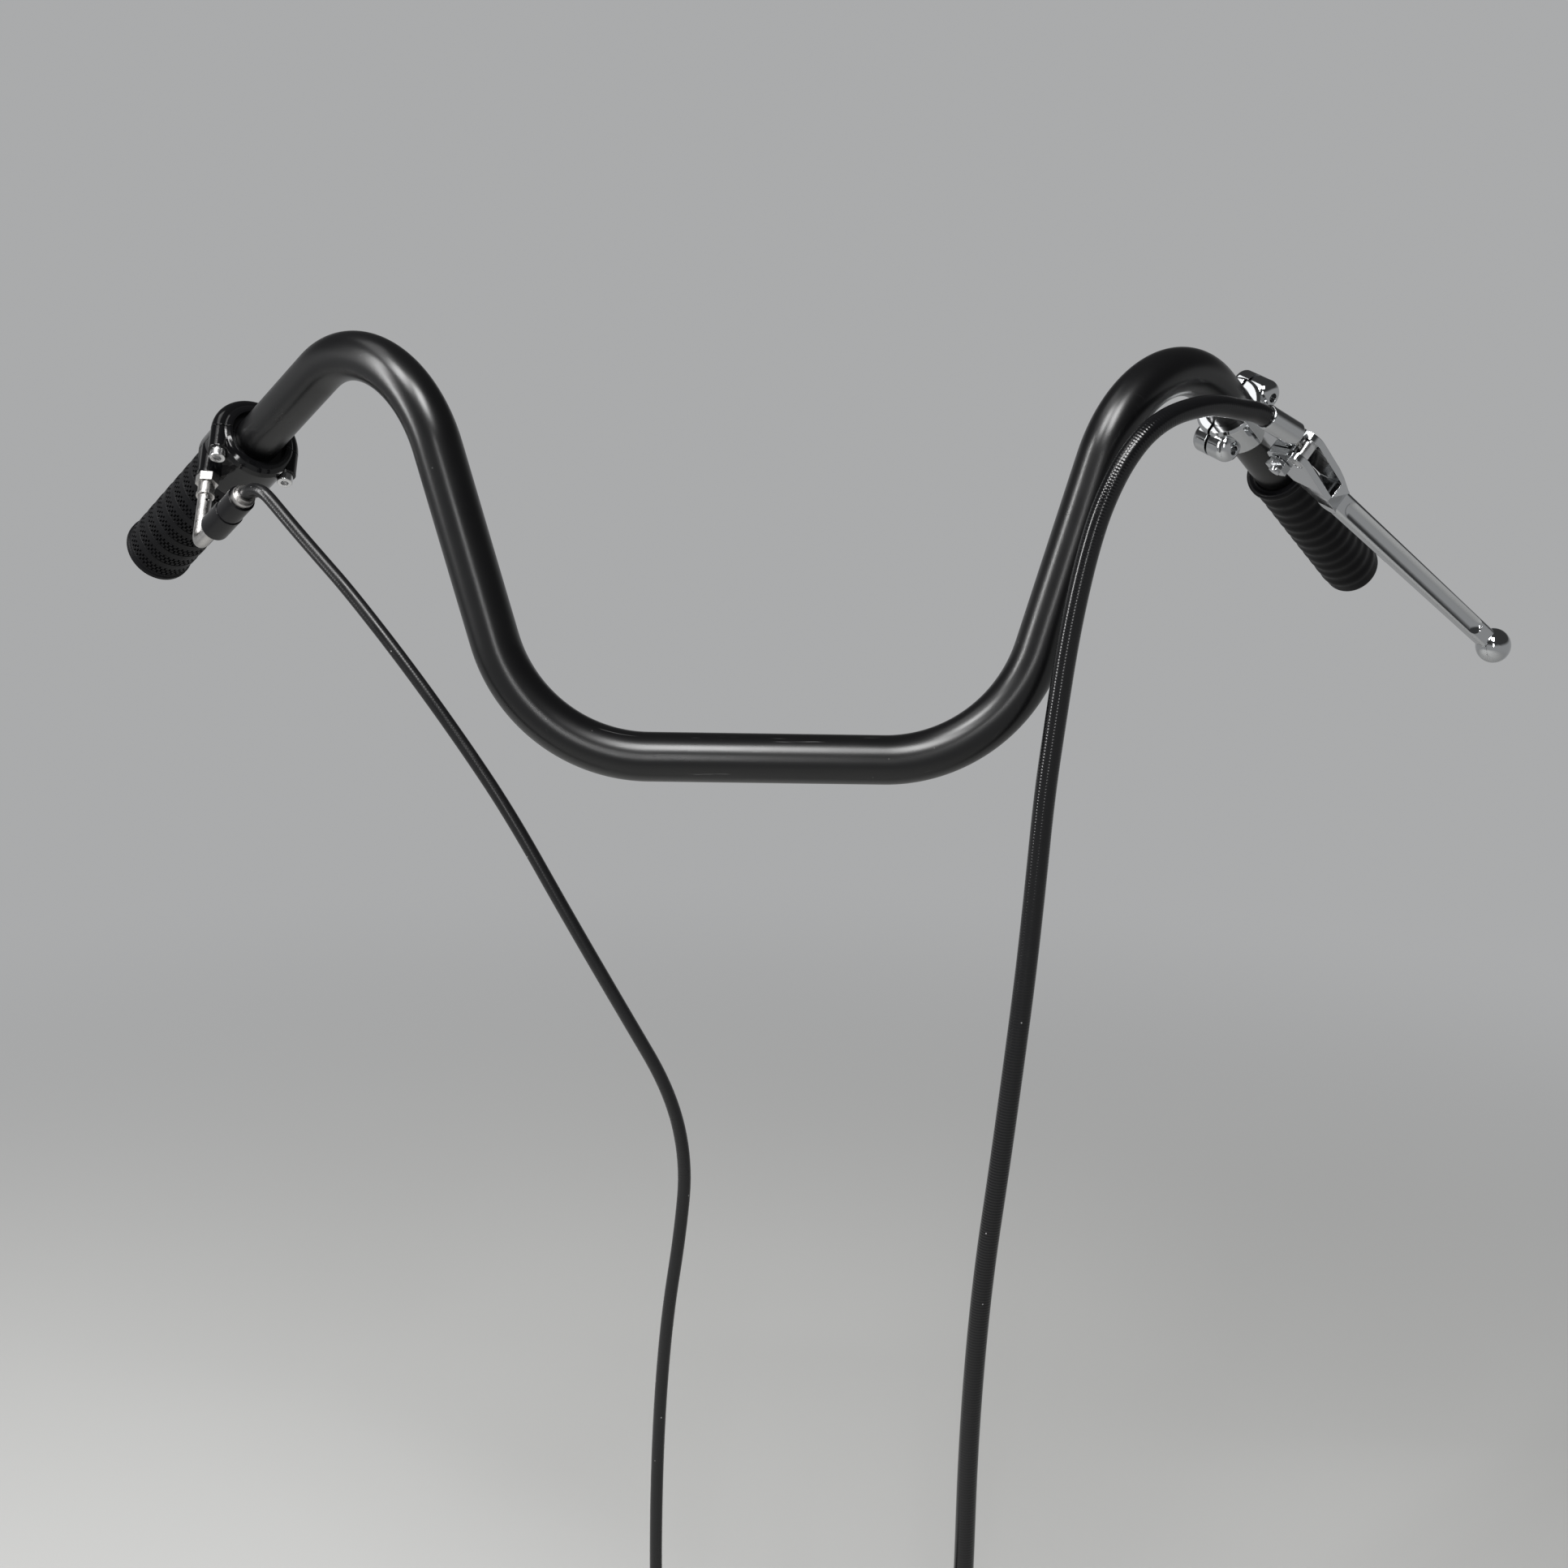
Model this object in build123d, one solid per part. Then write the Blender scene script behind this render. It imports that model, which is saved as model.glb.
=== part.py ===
from build123d import *
import os
from math import acos, cos, pi, radians, sin, sqrt, tan

os.makedirs("parts", exist_ok=True)

# Motorcycle handlebar dressed with its controls, in millimetres.
# Origin at the middle of the clamped section, +X to the clutch side, +Y to the rider, +Z up.

# Bent bar
BAR_OD = 25.4
BAR_WALL = 2.4
CLAMP_STRAIGHT = 120.0
LOWER_BEND_RADIUS = 82.0
UPRIGHT_LEAN = 17.2
UPRIGHT_BACK = 11.0
UPRIGHT_STRAIGHT = 100.7
TOP_BEND_RADIUS = 62.0
GRIP_SWEEP = 47.5
GRIP_DROOP = 34.3
GRIP_STRAIGHT = 205.5

# Fits
SEAT_FIT = 0.05
RUNNING_FIT = 0.07
SIDE_PLAY = 0.4

# Clutch grip
CLUTCH_GRIP_LENGTH = 118.0
CLUTCH_GRIP_RADIUS = 16.2
CLUTCH_GRIP_RIB = 0.9
CLUTCH_GRIP_RIBS = 11
CLUTCH_GRIP_FLANGE_RADIUS = 18.0
CLUTCH_GRIP_FLANGE = 4.0
GRIP_CAP = 4.0

# Throttle sleeve and grip
SLEEVE_WALL = 1.7
DRUM_STATION = 110.0
DRUM_WIDTH = 9.0
DRUM_WIRE_RADIUS = 17.5
DRUM_FLANGE = 1.2
THROTTLE_GRIP_RADIUS = 19.2
THROTTLE_GRIP_BANDS = 8
BAND_WIDTH = 7.6
BAND_DEPTH = 1.2
GRIP_GAP = 1.5
END_GAP = 0.8

# Throttle housing
THROTTLE_TILT = 62.4
HOUSING_RADIUS = 22.4
HOUSING_OUTER = 101.0
HOUSING_LENGTH = 33.0
HOUSING_SPLIT = 0.5
HOUSING_SCREW_SPACING = 39.6
HOUSING_SCREW_STATION = 127.0
HOUSING_BOSS_RADIUS = 5.6
HOUSING_SCREW_REACH = 6.0
HOUSING_LIP_RADIUS = 16.0
HOUSING_LIP_DEPTH = 3.5
HOUSING_BOSS_DROP = 13.5
DRUM_CLEARANCE = 0.8

# Screws
HOUSING_SCREW_RADIUS = 2.5
HOUSING_HEAD_RADIUS = 4.25
HOUSING_HEAD_HEIGHT = 5.0
HEX_KEY = 4.0

# Throttle cable elbow
CABLE_BOSS_RADIUS = 5.8
CABLE_BOSS_DROP = 19.8
STEM_RADIUS = 3.0
STEM_BORE = 1.4
ELBOW_NUT_FLATS = 11.0
ELBOW_NUT_HEIGHT = 5.2
COLLAR_RADIUS = 4.5
COLLAR_LENGTH = 8.0
COLLAR_RIM = 0.5
ELBOW_RADIUS = 3.8
ELBOW_BORE = 2.0
ELBOW_DROP = 64.2
ELBOW_BEND = 6.4
ELBOW_LEG = 36.0
BOOT_START = 20.0
BOOT_LENGTH = 34.0
BOOT_RADIUS = 7.9
BOOT_STEP = 0.5
FERRULE_RADIUS = 6.2
FERRULE_LENGTH = 3.2
FERRULE_LIP_RADIUS = 4.9
FERRULE_LIP = 2.2
FERRULE_STEM_RADIUS = 5.2
FERRULE_STEM = 8.0

# Throttle cable
THROTTLE_CABLE_D = 6.8
THROTTLE_WIRE_D = 1.6
CABLE_FIT = 0.1

# Clutch perch and its clamp
CLUTCH_TILT = 17.2
PERCH_STATION = 177.0
PERCH_WIDTH = 22.0
PERCH_RADIUS = 18.2
PERCH_SPLIT = 1.8
PERCH_SCREW_SPACING = 35.0
PERCH_BOSS_RADIUS = 8.3
PERCH_BOSS_FRONT = 13.5
PERCH_BOSS_DOME = 5.6
PERCH_BOSS_REAR = 11.0
PERCH_SCREW_RADIUS = 2.5
PERCH_HEAD_RADIUS = 4.25
PERCH_HEAD_HEIGHT = 5.0
TONGUE_HALF = 4.2

# Cable boss on the perch
MOUTH_FRONT = 41.7
MOUTH_UP = -3.0
MOUTH_STATION = 209.5
BOSS_FORWARD = 10.0
BOSS_RISE = 12.0
BOSS_LENGTH = 24.0
BOSS_RADIUS = 6.7
BOSS_WIRE_BORE = 4.6
CABLE_SEAT = 7.0

# Clutch lever
PIVOT_FRONT = 34.0
PIVOT_STATION = 165.0
PIVOT_RADIUS = 4.0
PIVOT_EYE = 9.0
PIVOT_HEAD_RADIUS = 7.6
PIVOT_HEAD_HEIGHT = 3.0
PIVOT_THREAD_RADIUS = 3.0
PIVOT_NUT_FLATS = 11.0
PIVOT_NUT_HEIGHT = 5.0
LEVER_EAR = 3.8
FORK_END = 131.0
WAIST_FRONT = 42.0
WAIST_STATION = 117.0
WAIST_HALF = 5.5
NECK_HALF = 5.0
BLADE_HALF_HEIGHT = 6.7
EDGE_ROUND = 2.4
BALL_FRONT = 100.0
BALL_STATION = -14.0
BALL_RADIUS = 10.0
CHANNEL_RADIUS = 7.0
CHANNEL_DEPTH = 2.2
CHANNEL_ROOT = 14.0
CHANNEL_TIP = 14.0

# Cable barrel in the lever
BARREL_REACH = 36.5
BARREL_RADIUS = 4.5
BARREL_EYE = 7.2
CLUTCH_WIRE_D = 2.4

# Clutch cable, its coil and its free end
CLUTCH_CABLE_D = 11.0
COIL_RADIUS = 56.0
COIL_TOP = -530.0
COIL_PITCH = 11.2
TIE_WIDTH = 8.0
TIE_WALL = 1.2
END_FERRULE_LENGTH = 16.0
END_FERRULE_WALL = 0.8
END_WIRE_LENGTH = 34.0
END_NIPPLE_RADIUS = 3.2
END_NIPPLE_LENGTH = 6.0

# Cable routes from where each cable has left its fitting
THROTTLE_ROUTE = [
    (-265.9, 59.2, 124.4),
    (-262.1, 55.9, 124.2),
    (-258.4, 53.0, 122.5),
    (-251.9, 48.6, 116.1),
    (-241.5, 41.5, 105.8),
    (-228.5, 32.8, 93.5),
    (-212.4, 22.0, 78.4),
    (-182.3, 5.0, 44.8),
    (-152.7, -9.0, 7.4),
    (-127.8, -20.0, -27.3),
    (-99.3, -27.0, -77.5),
    (-70.3, -29.0, -128.8),
    (-46.7, -28.0, -171.2),
    (-37.9, -26.0, -211.5),
    (-40.9, -24.0, -253.1),
    (-47.3, -22.0, -301.2),
    (-51.2, -20.0, -360.1),
    (-52.5, -20.5, -424.3),
    (-51.9, -20.0, -480.3),
    (-51.0, -20.5, -530.0),
]
CLUTCH_ROUTE = [
    (241.5, 47.0, 175.9),
    (226.2, 35.0, 179.6),
    (212.0, 24.0, 179.0),
    (197.8, 14.0, 175.5),
    (185.2, 6.0, 167.4),
    (174.8, 0.0, 154.7),
    (166.9, -4.0, 139.4),
    (160.9, -7.0, 123.2),
    (154.9, -10.0, 98.3),
    (149.3, -13.0, 65.9),
    (144.8, -16.0, 27.0),
    (140.7, -18.0, -12.7),
    (138.2, -20.0, -59.0),
    (135.2, -22.0, -106.9),
    (130.7, -24.0, -159.8),
    (126.0, -24.5, -214.5),
    (120.7, -24.0, -270.5),
    (117.6, -24.5, -327.7),
    (116.5, -24.0, -386.3),
    (117.0, -24.5, -446.2),
    (117.0, -24.0, -490.0),
]
CLUTCH_TAIL = 58.0

BAR_RADIUS = BAR_OD / 2
made = {}


def rod(radius, start, end):
    """Solid round bar between two points."""
    start = Vector(*start)
    end = Vector(*end)
    along = end - start
    return extrude(Plane(origin=start, z_dir=along) * Circle(radius), amount=along.length)


def turned(profile):
    """Solid turned about Z from (radius, height) points."""
    corners = [(r, 0, z) for r, z in profile]
    return revolve(make_face(Polyline(*corners, close=True)), Axis.Z)


def rounded_end(solid, start, end, radius):
    """Rounds the rim of the face that lies farthest along start to end."""
    start = Vector(*start)
    face = solid.faces().sort_by(Axis(start, Vector(*end) - start))[-1]
    return fillet(face.edges(), radius)


def hexagon(flats, start, end):
    """Six-sided prism between two points."""
    start = Vector(*start)
    along = Vector(*end) - start
    section = RegularPolygon(flats / 2, 6, major_radius=False)
    return extrude(Plane(origin=start, z_dir=along) * section, amount=along.length)


def cap_screw(radius, head_radius, head_height, seat, tip):
    """Socket-head screw with the underside of its head at seat."""
    seat = Vector(*seat)
    along = (Vector(*tip) - seat).normalized()
    top = seat - along * head_height
    head = rounded_end(rod(head_radius, seat, top), seat, top, 0.6)
    key = hexagon(HEX_KEY, top, top + along * (head_height * 0.55))
    return head + rod(radius, seat, tip) - key


def cable(name, points, diameter):
    """Round cable of straight runs joined by tangent arcs."""
    corners = [Vector(*p) for p in points]
    runs = [b - a for a, b in zip(corners, corners[1:])]
    radii = []
    for before, after in zip(runs, runs[1:]):
        half_turn = radians(before.get_angle(after)) / 2
        radii.append(0.45 * min(before.length, after.length) / tan(half_turn))
    path = FilletPolyline(*corners, radius=radii)
    solid = sweep(Plane(origin=path @ 0, z_dir=path % 0) * Circle(diameter / 2), path=path)
    expected = pi * diameter ** 2 / 4 * path.length
    print(name, "length", round(path.length, 1), "volume ratio", round(solid.volume / expected, 4))
    print(name, "bend radii", [round(r, 1) for r in radii])
    return solid


# Bar: clamped straight, two lower bends, two uprights, two top bends, two grip legs
upright = Vector(tan(radians(UPRIGHT_LEAN)), tan(radians(UPRIGHT_BACK)), 1).normalized()
leg = Vector(
    cos(radians(GRIP_SWEEP)) * cos(radians(GRIP_DROOP)),
    sin(radians(GRIP_SWEEP)) * cos(radians(GRIP_DROOP)),
    -sin(radians(GRIP_DROOP)),
)
lower_tangent = LOWER_BEND_RADIUS * tan(acos(upright.X) / 2)
top_tangent = TOP_BEND_RADIUS * tan(acos(upright.dot(leg)) / 2)
knee = Vector(CLAMP_STRAIGHT / 2 + lower_tangent, 0, 0)
shoulder = knee + upright * (lower_tangent + UPRIGHT_STRAIGHT + top_tangent)
bar_end = shoulder + leg * (top_tangent + GRIP_STRAIGHT)

half_bar = [knee, shoulder, bar_end]
bar_corners = [Vector(-p.X, p.Y, p.Z) for p in reversed(half_bar)] + half_bar
bar_path = FilletPolyline(
    *bar_corners,
    radius=[TOP_BEND_RADIUS, LOWER_BEND_RADIUS, LOWER_BEND_RADIUS, TOP_BEND_RADIUS],
)
bar_section = Circle(BAR_RADIUS) - Circle(BAR_RADIUS - BAR_WALL)
made["handlebar_tube"] = sweep(
    Plane(origin=bar_path @ 0, z_dir=bar_path % 0) * bar_section, path=bar_path
)


def leg_plane(side, tilt):
    """Plane at a bar end: X across the leg to the front, Z inboard along the leg."""
    outward = Vector(side * leg.X, leg.Y, leg.Z)
    up = (Vector(0, 0, 1) - outward * outward.Z).normalized()
    front = Vector(side * leg.Y, -leg.X, 0).normalized()
    forward = front * cos(radians(tilt)) - up * sin(radians(tilt))
    corner = Vector(side * bar_end.X, bar_end.Y, bar_end.Z)
    return Plane(origin=corner, x_dir=forward, z_dir=outward * -1)


throttle_side = leg_plane(-1, THROTTLE_TILT)
clutch_side = leg_plane(1, CLUTCH_TILT)

# Clutch grip, closed at its outer end, with turned ribs and a flange at its inner end
grip_bore = BAR_RADIUS + SEAT_FIT
rib_pitch = (CLUTCH_GRIP_LENGTH - CLUTCH_GRIP_FLANGE - 6) / CLUTCH_GRIP_RIBS
profile = [(0, -GRIP_CAP), (CLUTCH_GRIP_RADIUS - 3, -GRIP_CAP), (CLUTCH_GRIP_RADIUS, -GRIP_CAP + 3)]
for i in range(CLUTCH_GRIP_RIBS):
    z = 3 + i * rib_pitch
    crest = CLUTCH_GRIP_RADIUS + CLUTCH_GRIP_RIB
    profile += [
        (CLUTCH_GRIP_RADIUS, z),
        (crest, z + rib_pitch * 0.2),
        (crest, z + rib_pitch * 0.5),
        (CLUTCH_GRIP_RADIUS, z + rib_pitch * 0.7),
    ]
flange_start = CLUTCH_GRIP_LENGTH - CLUTCH_GRIP_FLANGE
profile += [
    (CLUTCH_GRIP_RADIUS, flange_start - 1),
    (CLUTCH_GRIP_FLANGE_RADIUS, flange_start),
    (CLUTCH_GRIP_FLANGE_RADIUS, CLUTCH_GRIP_LENGTH - 1),
    (CLUTCH_GRIP_FLANGE_RADIUS - 1, CLUTCH_GRIP_LENGTH),
    (grip_bore, CLUTCH_GRIP_LENGTH),
    (grip_bore, -SEAT_FIT),
    (0, -SEAT_FIT),
]
made["clutch_grip"] = clutch_side * turned(profile)

# Throttle sleeve with the wire drum at its inner end
sleeve_bore = BAR_RADIUS + RUNNING_FIT
sleeve_radius = BAR_RADIUS + SLEEVE_WALL
drum_start = DRUM_STATION - DRUM_WIDTH / 2
drum_end = DRUM_STATION + DRUM_WIDTH / 2
drum_radius = DRUM_WIRE_RADIUS + DRUM_FLANGE
groove_floor = DRUM_WIRE_RADIUS - THROTTLE_WIRE_D / 2 - 0.3
groove_half = THROTTLE_WIRE_D / 2 + 0.5
nipple_radius = 2.4
nipple_turn = radians(75)
nipple_at = Vector(
    -(groove_floor - nipple_radius + 2.2) * sin(nipple_turn),
    -(groove_floor - nipple_radius + 2.2) * cos(nipple_turn),
    0,
)
sleeve = turned([
    (sleeve_bore, 0.6),
    (sleeve_radius, 0.6),
    (sleeve_radius, drum_start),
    (drum_radius, drum_start),
    (drum_radius, DRUM_STATION - groove_half),
    (groove_floor, DRUM_STATION - groove_half),
    (groove_floor, DRUM_STATION + groove_half),
    (drum_radius, DRUM_STATION + groove_half),
    (drum_radius, drum_end),
    (sleeve_bore, drum_end),
])
nipple_low = nipple_at + Vector(0, 0, DRUM_STATION - 2.6)
nipple_high = nipple_at + Vector(0, 0, drum_end - 0.2)
nipple_pocket = rod(nipple_radius + SEAT_FIT, nipple_low, nipple_at + Vector(0, 0, drum_end + 1))
made["throttle_sleeve"] = throttle_side * (sleeve - nipple_pocket)
made["throttle_drum_nipple"] = throttle_side * rod(nipple_radius, nipple_low, nipple_high)

# Throttle grip: smooth ribs standing between recessed bands, with a plain rim at its end
grip_inner = HOUSING_OUTER - GRIP_GAP
grip_outer = -GRIP_CAP - END_GAP
band_pitch = (grip_inner - 1.5) / THROTTLE_GRIP_BANDS
band_radius = THROTTLE_GRIP_RADIUS - BAND_DEPTH
grip_bore = sleeve_radius + SEAT_FIT
profile = [
    (0, grip_outer),
    (THROTTLE_GRIP_RADIUS - 2, grip_outer),
    (THROTTLE_GRIP_RADIUS + 0.6, grip_outer + 1.6),
    (THROTTLE_GRIP_RADIUS + 0.6, grip_outer + 4),
    (THROTTLE_GRIP_RADIUS, grip_outer + 4.8),
]
for i in range(THROTTLE_GRIP_BANDS):
    z = 1.5 + i * band_pitch
    profile += [
        (THROTTLE_GRIP_RADIUS, z),
        (band_radius, z + 0.5),
        (band_radius, z + BAND_WIDTH - 0.5),
        (THROTTLE_GRIP_RADIUS, z + BAND_WIDTH),
    ]
profile += [
    (THROTTLE_GRIP_RADIUS, grip_inner),
    (grip_bore, grip_inner),
    (grip_bore, -END_GAP),
    (0, -END_GAP),
]
made["throttle_grip"] = throttle_side * turned(profile)

# Throttle housing: two halves clamped on the bar around the drum
housing_inner = HOUSING_OUTER + HOUSING_LENGTH
cavity_start = drum_start - 1.0
cavity_end = drum_end + 1.0
cavity_radius = drum_radius + DRUM_CLEARANCE
cable_side = -DRUM_WIRE_RADIUS
screw_side = HOUSING_SCREW_SPACING / 2
outer_shell = turned([
    (0, HOUSING_OUTER),
    (HOUSING_RADIUS - 2.5, HOUSING_OUTER),
    (HOUSING_RADIUS, HOUSING_OUTER + 2.5),
    (HOUSING_RADIUS, housing_inner - 5),
    (HOUSING_RADIUS - 1, housing_inner - 2.5),
    (HOUSING_RADIUS - 3, housing_inner - 0.8),
    (HOUSING_RADIUS - 5, housing_inner),
    (0, housing_inner),
])
inside = turned([
    (0, HOUSING_OUTER - 1),
    (sleeve_radius + 0.6, HOUSING_OUTER - 1),
    (sleeve_radius + 0.6, cavity_start),
    (cavity_radius, cavity_start),
    (cavity_radius, cavity_end),
    (BAR_RADIUS + SEAT_FIT, cavity_end),
    (BAR_RADIUS + SEAT_FIT, housing_inner - HOUSING_LIP_DEPTH),
    (HOUSING_LIP_RADIUS, housing_inner - HOUSING_LIP_DEPTH),
    (HOUSING_LIP_RADIUS, housing_inner + 1),
    (0, housing_inner + 1),
])
arch = Pos(0, 0, HOUSING_SCREW_STATION) * Torus(screw_side, HOUSING_BOSS_RADIUS)
upper = outer_shell + arch
lower = outer_shell
for y in (-screw_side, screw_side):
    middle = Vector(0, y, HOUSING_SCREW_STATION)
    seat = middle + Vector(HOUSING_BOSS_DROP, 0, 0)
    lower += rounded_end(rod(HOUSING_BOSS_RADIUS, middle, seat), middle, seat, 0.6)
boss_root = Vector(0, cable_side, DRUM_STATION)
boss_end = Vector(CABLE_BOSS_DROP, cable_side, DRUM_STATION)
lower += rod(CABLE_BOSS_RADIUS - 0.5, boss_root, boss_end)
lower += rod(CABLE_BOSS_RADIUS, boss_end - Vector(2.2, 0, 0), boss_end)
upper -= inside
lower -= inside
lower -= rod(STEM_RADIUS + SEAT_FIT, boss_root, boss_end + Vector(1, 0, 0))
room = 4 * HOUSING_RADIUS
keep = Box(room, room, 4 * HOUSING_LENGTH, align=(Align.MIN, Align.CENTER, Align.CENTER))
middle_station = Vector(0, 0, HOUSING_OUTER + HOUSING_LENGTH / 2)
lower &= Pos(HOUSING_SPLIT / 2, 0, middle_station.Z) * keep
upper &= Pos(-HOUSING_SPLIT / 2 - room, 0, middle_station.Z) * keep
screws = []
for y in (-screw_side, screw_side):
    seat = (HOUSING_BOSS_DROP, y, HOUSING_SCREW_STATION)
    tip = (-HOUSING_SCREW_REACH, y, HOUSING_SCREW_STATION)
    hole = rod(HOUSING_SCREW_RADIUS + SEAT_FIT, (HOUSING_BOSS_DROP + 1, y, HOUSING_SCREW_STATION), tip)
    upper -= hole
    lower -= hole
    lower -= rod(HOUSING_HEAD_RADIUS + 0.4, seat, (2 * HOUSING_RADIUS, y, HOUSING_SCREW_STATION))
    screws.append(cap_screw(HOUSING_SCREW_RADIUS, HOUSING_HEAD_RADIUS, HOUSING_HEAD_HEIGHT, seat, tip))
made["throttle_housing_upper"] = throttle_side * upper
made["throttle_housing_lower"] = throttle_side * lower
made["throttle_housing_screws"] = throttle_side * Compound(screws)

# Cable elbow under the housing: threaded fitting, lock nut, bent tube, boot and ferrule
nut_start = CABLE_BOSS_DROP + SEAT_FIT
nut_end = nut_start + ELBOW_NUT_HEIGHT
collar_start = nut_end + SEAT_FIT
collar_end = collar_start + COLLAR_LENGTH


def down(x):
    """Point on the cable's way out of the housing."""
    return Vector(x, cable_side, DRUM_STATION)


def along_leg(z):
    """Point on the elbow's second leg."""
    return Vector(ELBOW_DROP, cable_side, DRUM_STATION + z)


stem_start = sqrt(cavity_radius ** 2 - (DRUM_WIRE_RADIUS - STEM_RADIUS) ** 2) + 0.2
fitting = rod(STEM_RADIUS, down(stem_start), down(collar_start + 1))
fitting += rod(COLLAR_RADIUS, down(collar_start), down(collar_end))
fitting += rod(COLLAR_RADIUS + COLLAR_RIM, down(collar_end - 1.6), down(collar_end))
fitting -= rod(STEM_BORE, down(0), down(collar_end + 1))
fitting -= rod(ELBOW_RADIUS + SEAT_FIT, down(collar_end - 5), down(collar_end + 1))
made["throttle_elbow_fitting"] = throttle_side * fitting
nut = hexagon(ELBOW_NUT_FLATS, down(nut_start), down(nut_end))
nut -= rod(STEM_RADIUS + SEAT_FIT, down(nut_start - 1), down(nut_end + 1))
made["throttle_elbow_nut"] = throttle_side * nut
elbow_path = FilletPolyline(
    down(collar_end - 5), down(ELBOW_DROP), along_leg(ELBOW_LEG), radius=ELBOW_BEND
)
elbow_section = Circle(ELBOW_RADIUS) - Circle(ELBOW_BORE)
elbow = sweep(Plane(origin=elbow_path @ 0, z_dir=elbow_path % 0) * elbow_section, path=elbow_path)
pin_hole = down(collar_end + 4)
elbow -= rod(0.9, pin_hole, pin_hole + Vector(0, 0, ELBOW_RADIUS + 1))
made["throttle_elbow"] = throttle_side * elbow

boot_end = BOOT_START + BOOT_LENGTH
boot_step = BOOT_START + BOOT_LENGTH * 0.56
boot = rounded_end(
    rod(BOOT_RADIUS, along_leg(boot_step), along_leg(BOOT_START)),
    along_leg(boot_step), along_leg(BOOT_START), 1.5,
)
boot += rod(BOOT_RADIUS - BOOT_STEP, along_leg(boot_step), along_leg(boot_end))
boot -= rod(ELBOW_RADIUS + SEAT_FIT, along_leg(BOOT_START - 1), along_leg(ELBOW_LEG + 0.5))
boot -= rod(FERRULE_STEM_RADIUS + SEAT_FIT, along_leg(boot_end - FERRULE_STEM - 0.5), along_leg(boot_end + 1))
boot -= rod(ELBOW_BORE, along_leg(BOOT_START), along_leg(boot_end))
made["throttle_cable_boot"] = throttle_side * boot
ferrule_face = boot_end + SEAT_FIT
mouth = ferrule_face + FERRULE_LENGTH + FERRULE_LIP
ferrule = rod(FERRULE_STEM_RADIUS, along_leg(boot_end - FERRULE_STEM), along_leg(ferrule_face + 1))
ferrule += rod(FERRULE_RADIUS, along_leg(ferrule_face), along_leg(ferrule_face + FERRULE_LENGTH))
ferrule += rod(FERRULE_LIP_RADIUS, along_leg(ferrule_face + 1), along_leg(mouth))
ferrule -= rod(STEM_BORE, along_leg(boot_end - FERRULE_STEM - 1), along_leg(mouth))
ferrule -= rod(THROTTLE_CABLE_D / 2 + CABLE_FIT, along_leg(ferrule_face - 3), along_leg(mouth + 1))
made["throttle_cable_ferrule"] = throttle_side * ferrule
made["throttle_inner_wire"] = throttle_side * rod(THROTTLE_WIRE_D / 2, down(0), down(collar_end - 6))


def world(plane, point):
    """Point given in a leg's plane, in the object's frame."""
    return plane.from_local_coords(Vector(*point))


# Throttle cable from its seat in the ferrule to its free end
throttle_start = [
    world(throttle_side, along_leg(mouth - 3.6)),
    world(throttle_side, along_leg(mouth + 3.0)),
]
throttle_points = throttle_start + [Vector(*p) for p in THROTTLE_ROUTE]
print("throttle cable starts", [tuple(round(v, 2) for v in p) for p in throttle_start])
made["throttle_cable"] = cable("throttle_cable", throttle_points, THROTTLE_CABLE_D)


def cable_end(prefix, before, last, cable_d, wire_d):
    """Crimped ferrule, bare wire and nipple on the free end of a cable."""
    last = Vector(*last)
    way = (last - Vector(*before)).normalized()
    bore = cable_d / 2 + SEAT_FIT
    start = last - way * (END_FERRULE_LENGTH - 3)
    stop = last + way * 3
    shell = rounded_end(rod(bore + END_FERRULE_WALL, start, stop), start, stop, 1.0)
    shell -= rod(bore, start - way, last + way * SEAT_FIT)
    shell -= rod(wire_d / 2 + SEAT_FIT, last, stop + way)
    wire_start = last + way * (2 * SEAT_FIT)
    wire_end = last + way * END_WIRE_LENGTH
    wire = rod(wire_d / 2, wire_start, wire_end)
    wire += rod(END_NIPPLE_RADIUS, wire_end - way * 1.0, wire_end + way * END_NIPPLE_LENGTH)
    made[prefix + "_end_ferrule"] = shell
    made[prefix + "_end_wire"] = wire


cable_end("throttle", throttle_points[-2], throttle_points[-1], THROTTLE_CABLE_D, THROTTLE_WIRE_D)

# Clutch perch: front half of the clamp, tongue for the lever and boss for the cable
perch_start = PERCH_STATION - PERCH_WIDTH / 2
perch_end = PERCH_STATION + PERCH_WIDTH / 2
way_out = Vector(
    sin(radians(BOSS_FORWARD)) * cos(radians(BOSS_RISE)),
    sin(radians(BOSS_RISE)),
    -cos(radians(BOSS_FORWARD)) * cos(radians(BOSS_RISE)),
)
boss_mouth = Vector(MOUTH_FRONT, MOUTH_UP, MOUTH_STATION)
boss_tail = boss_mouth + way_out * BOSS_LENGTH
clamp_side = PERCH_SCREW_SPACING / 2
band = turned([
    (0, perch_start),
    (PERCH_RADIUS - 1.5, perch_start),
    (PERCH_RADIUS, perch_start + 1.5),
    (PERCH_RADIUS, perch_end - 1.5),
    (PERCH_RADIUS - 1.5, perch_end),
    (0, perch_end),
])
perch = band
clamp = band
for y in (-clamp_side, clamp_side):
    middle = Vector(0, y, PERCH_STATION)
    front = middle + Vector(PERCH_BOSS_FRONT, 0, 0)
    rear = middle - Vector(PERCH_BOSS_REAR, 0, 0)
    perch += rounded_end(rod(PERCH_BOSS_RADIUS, middle, front), middle, front, PERCH_BOSS_DOME)
    clamp += rounded_end(rod(PERCH_BOSS_RADIUS, middle, rear), middle, rear, 3.5)
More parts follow.
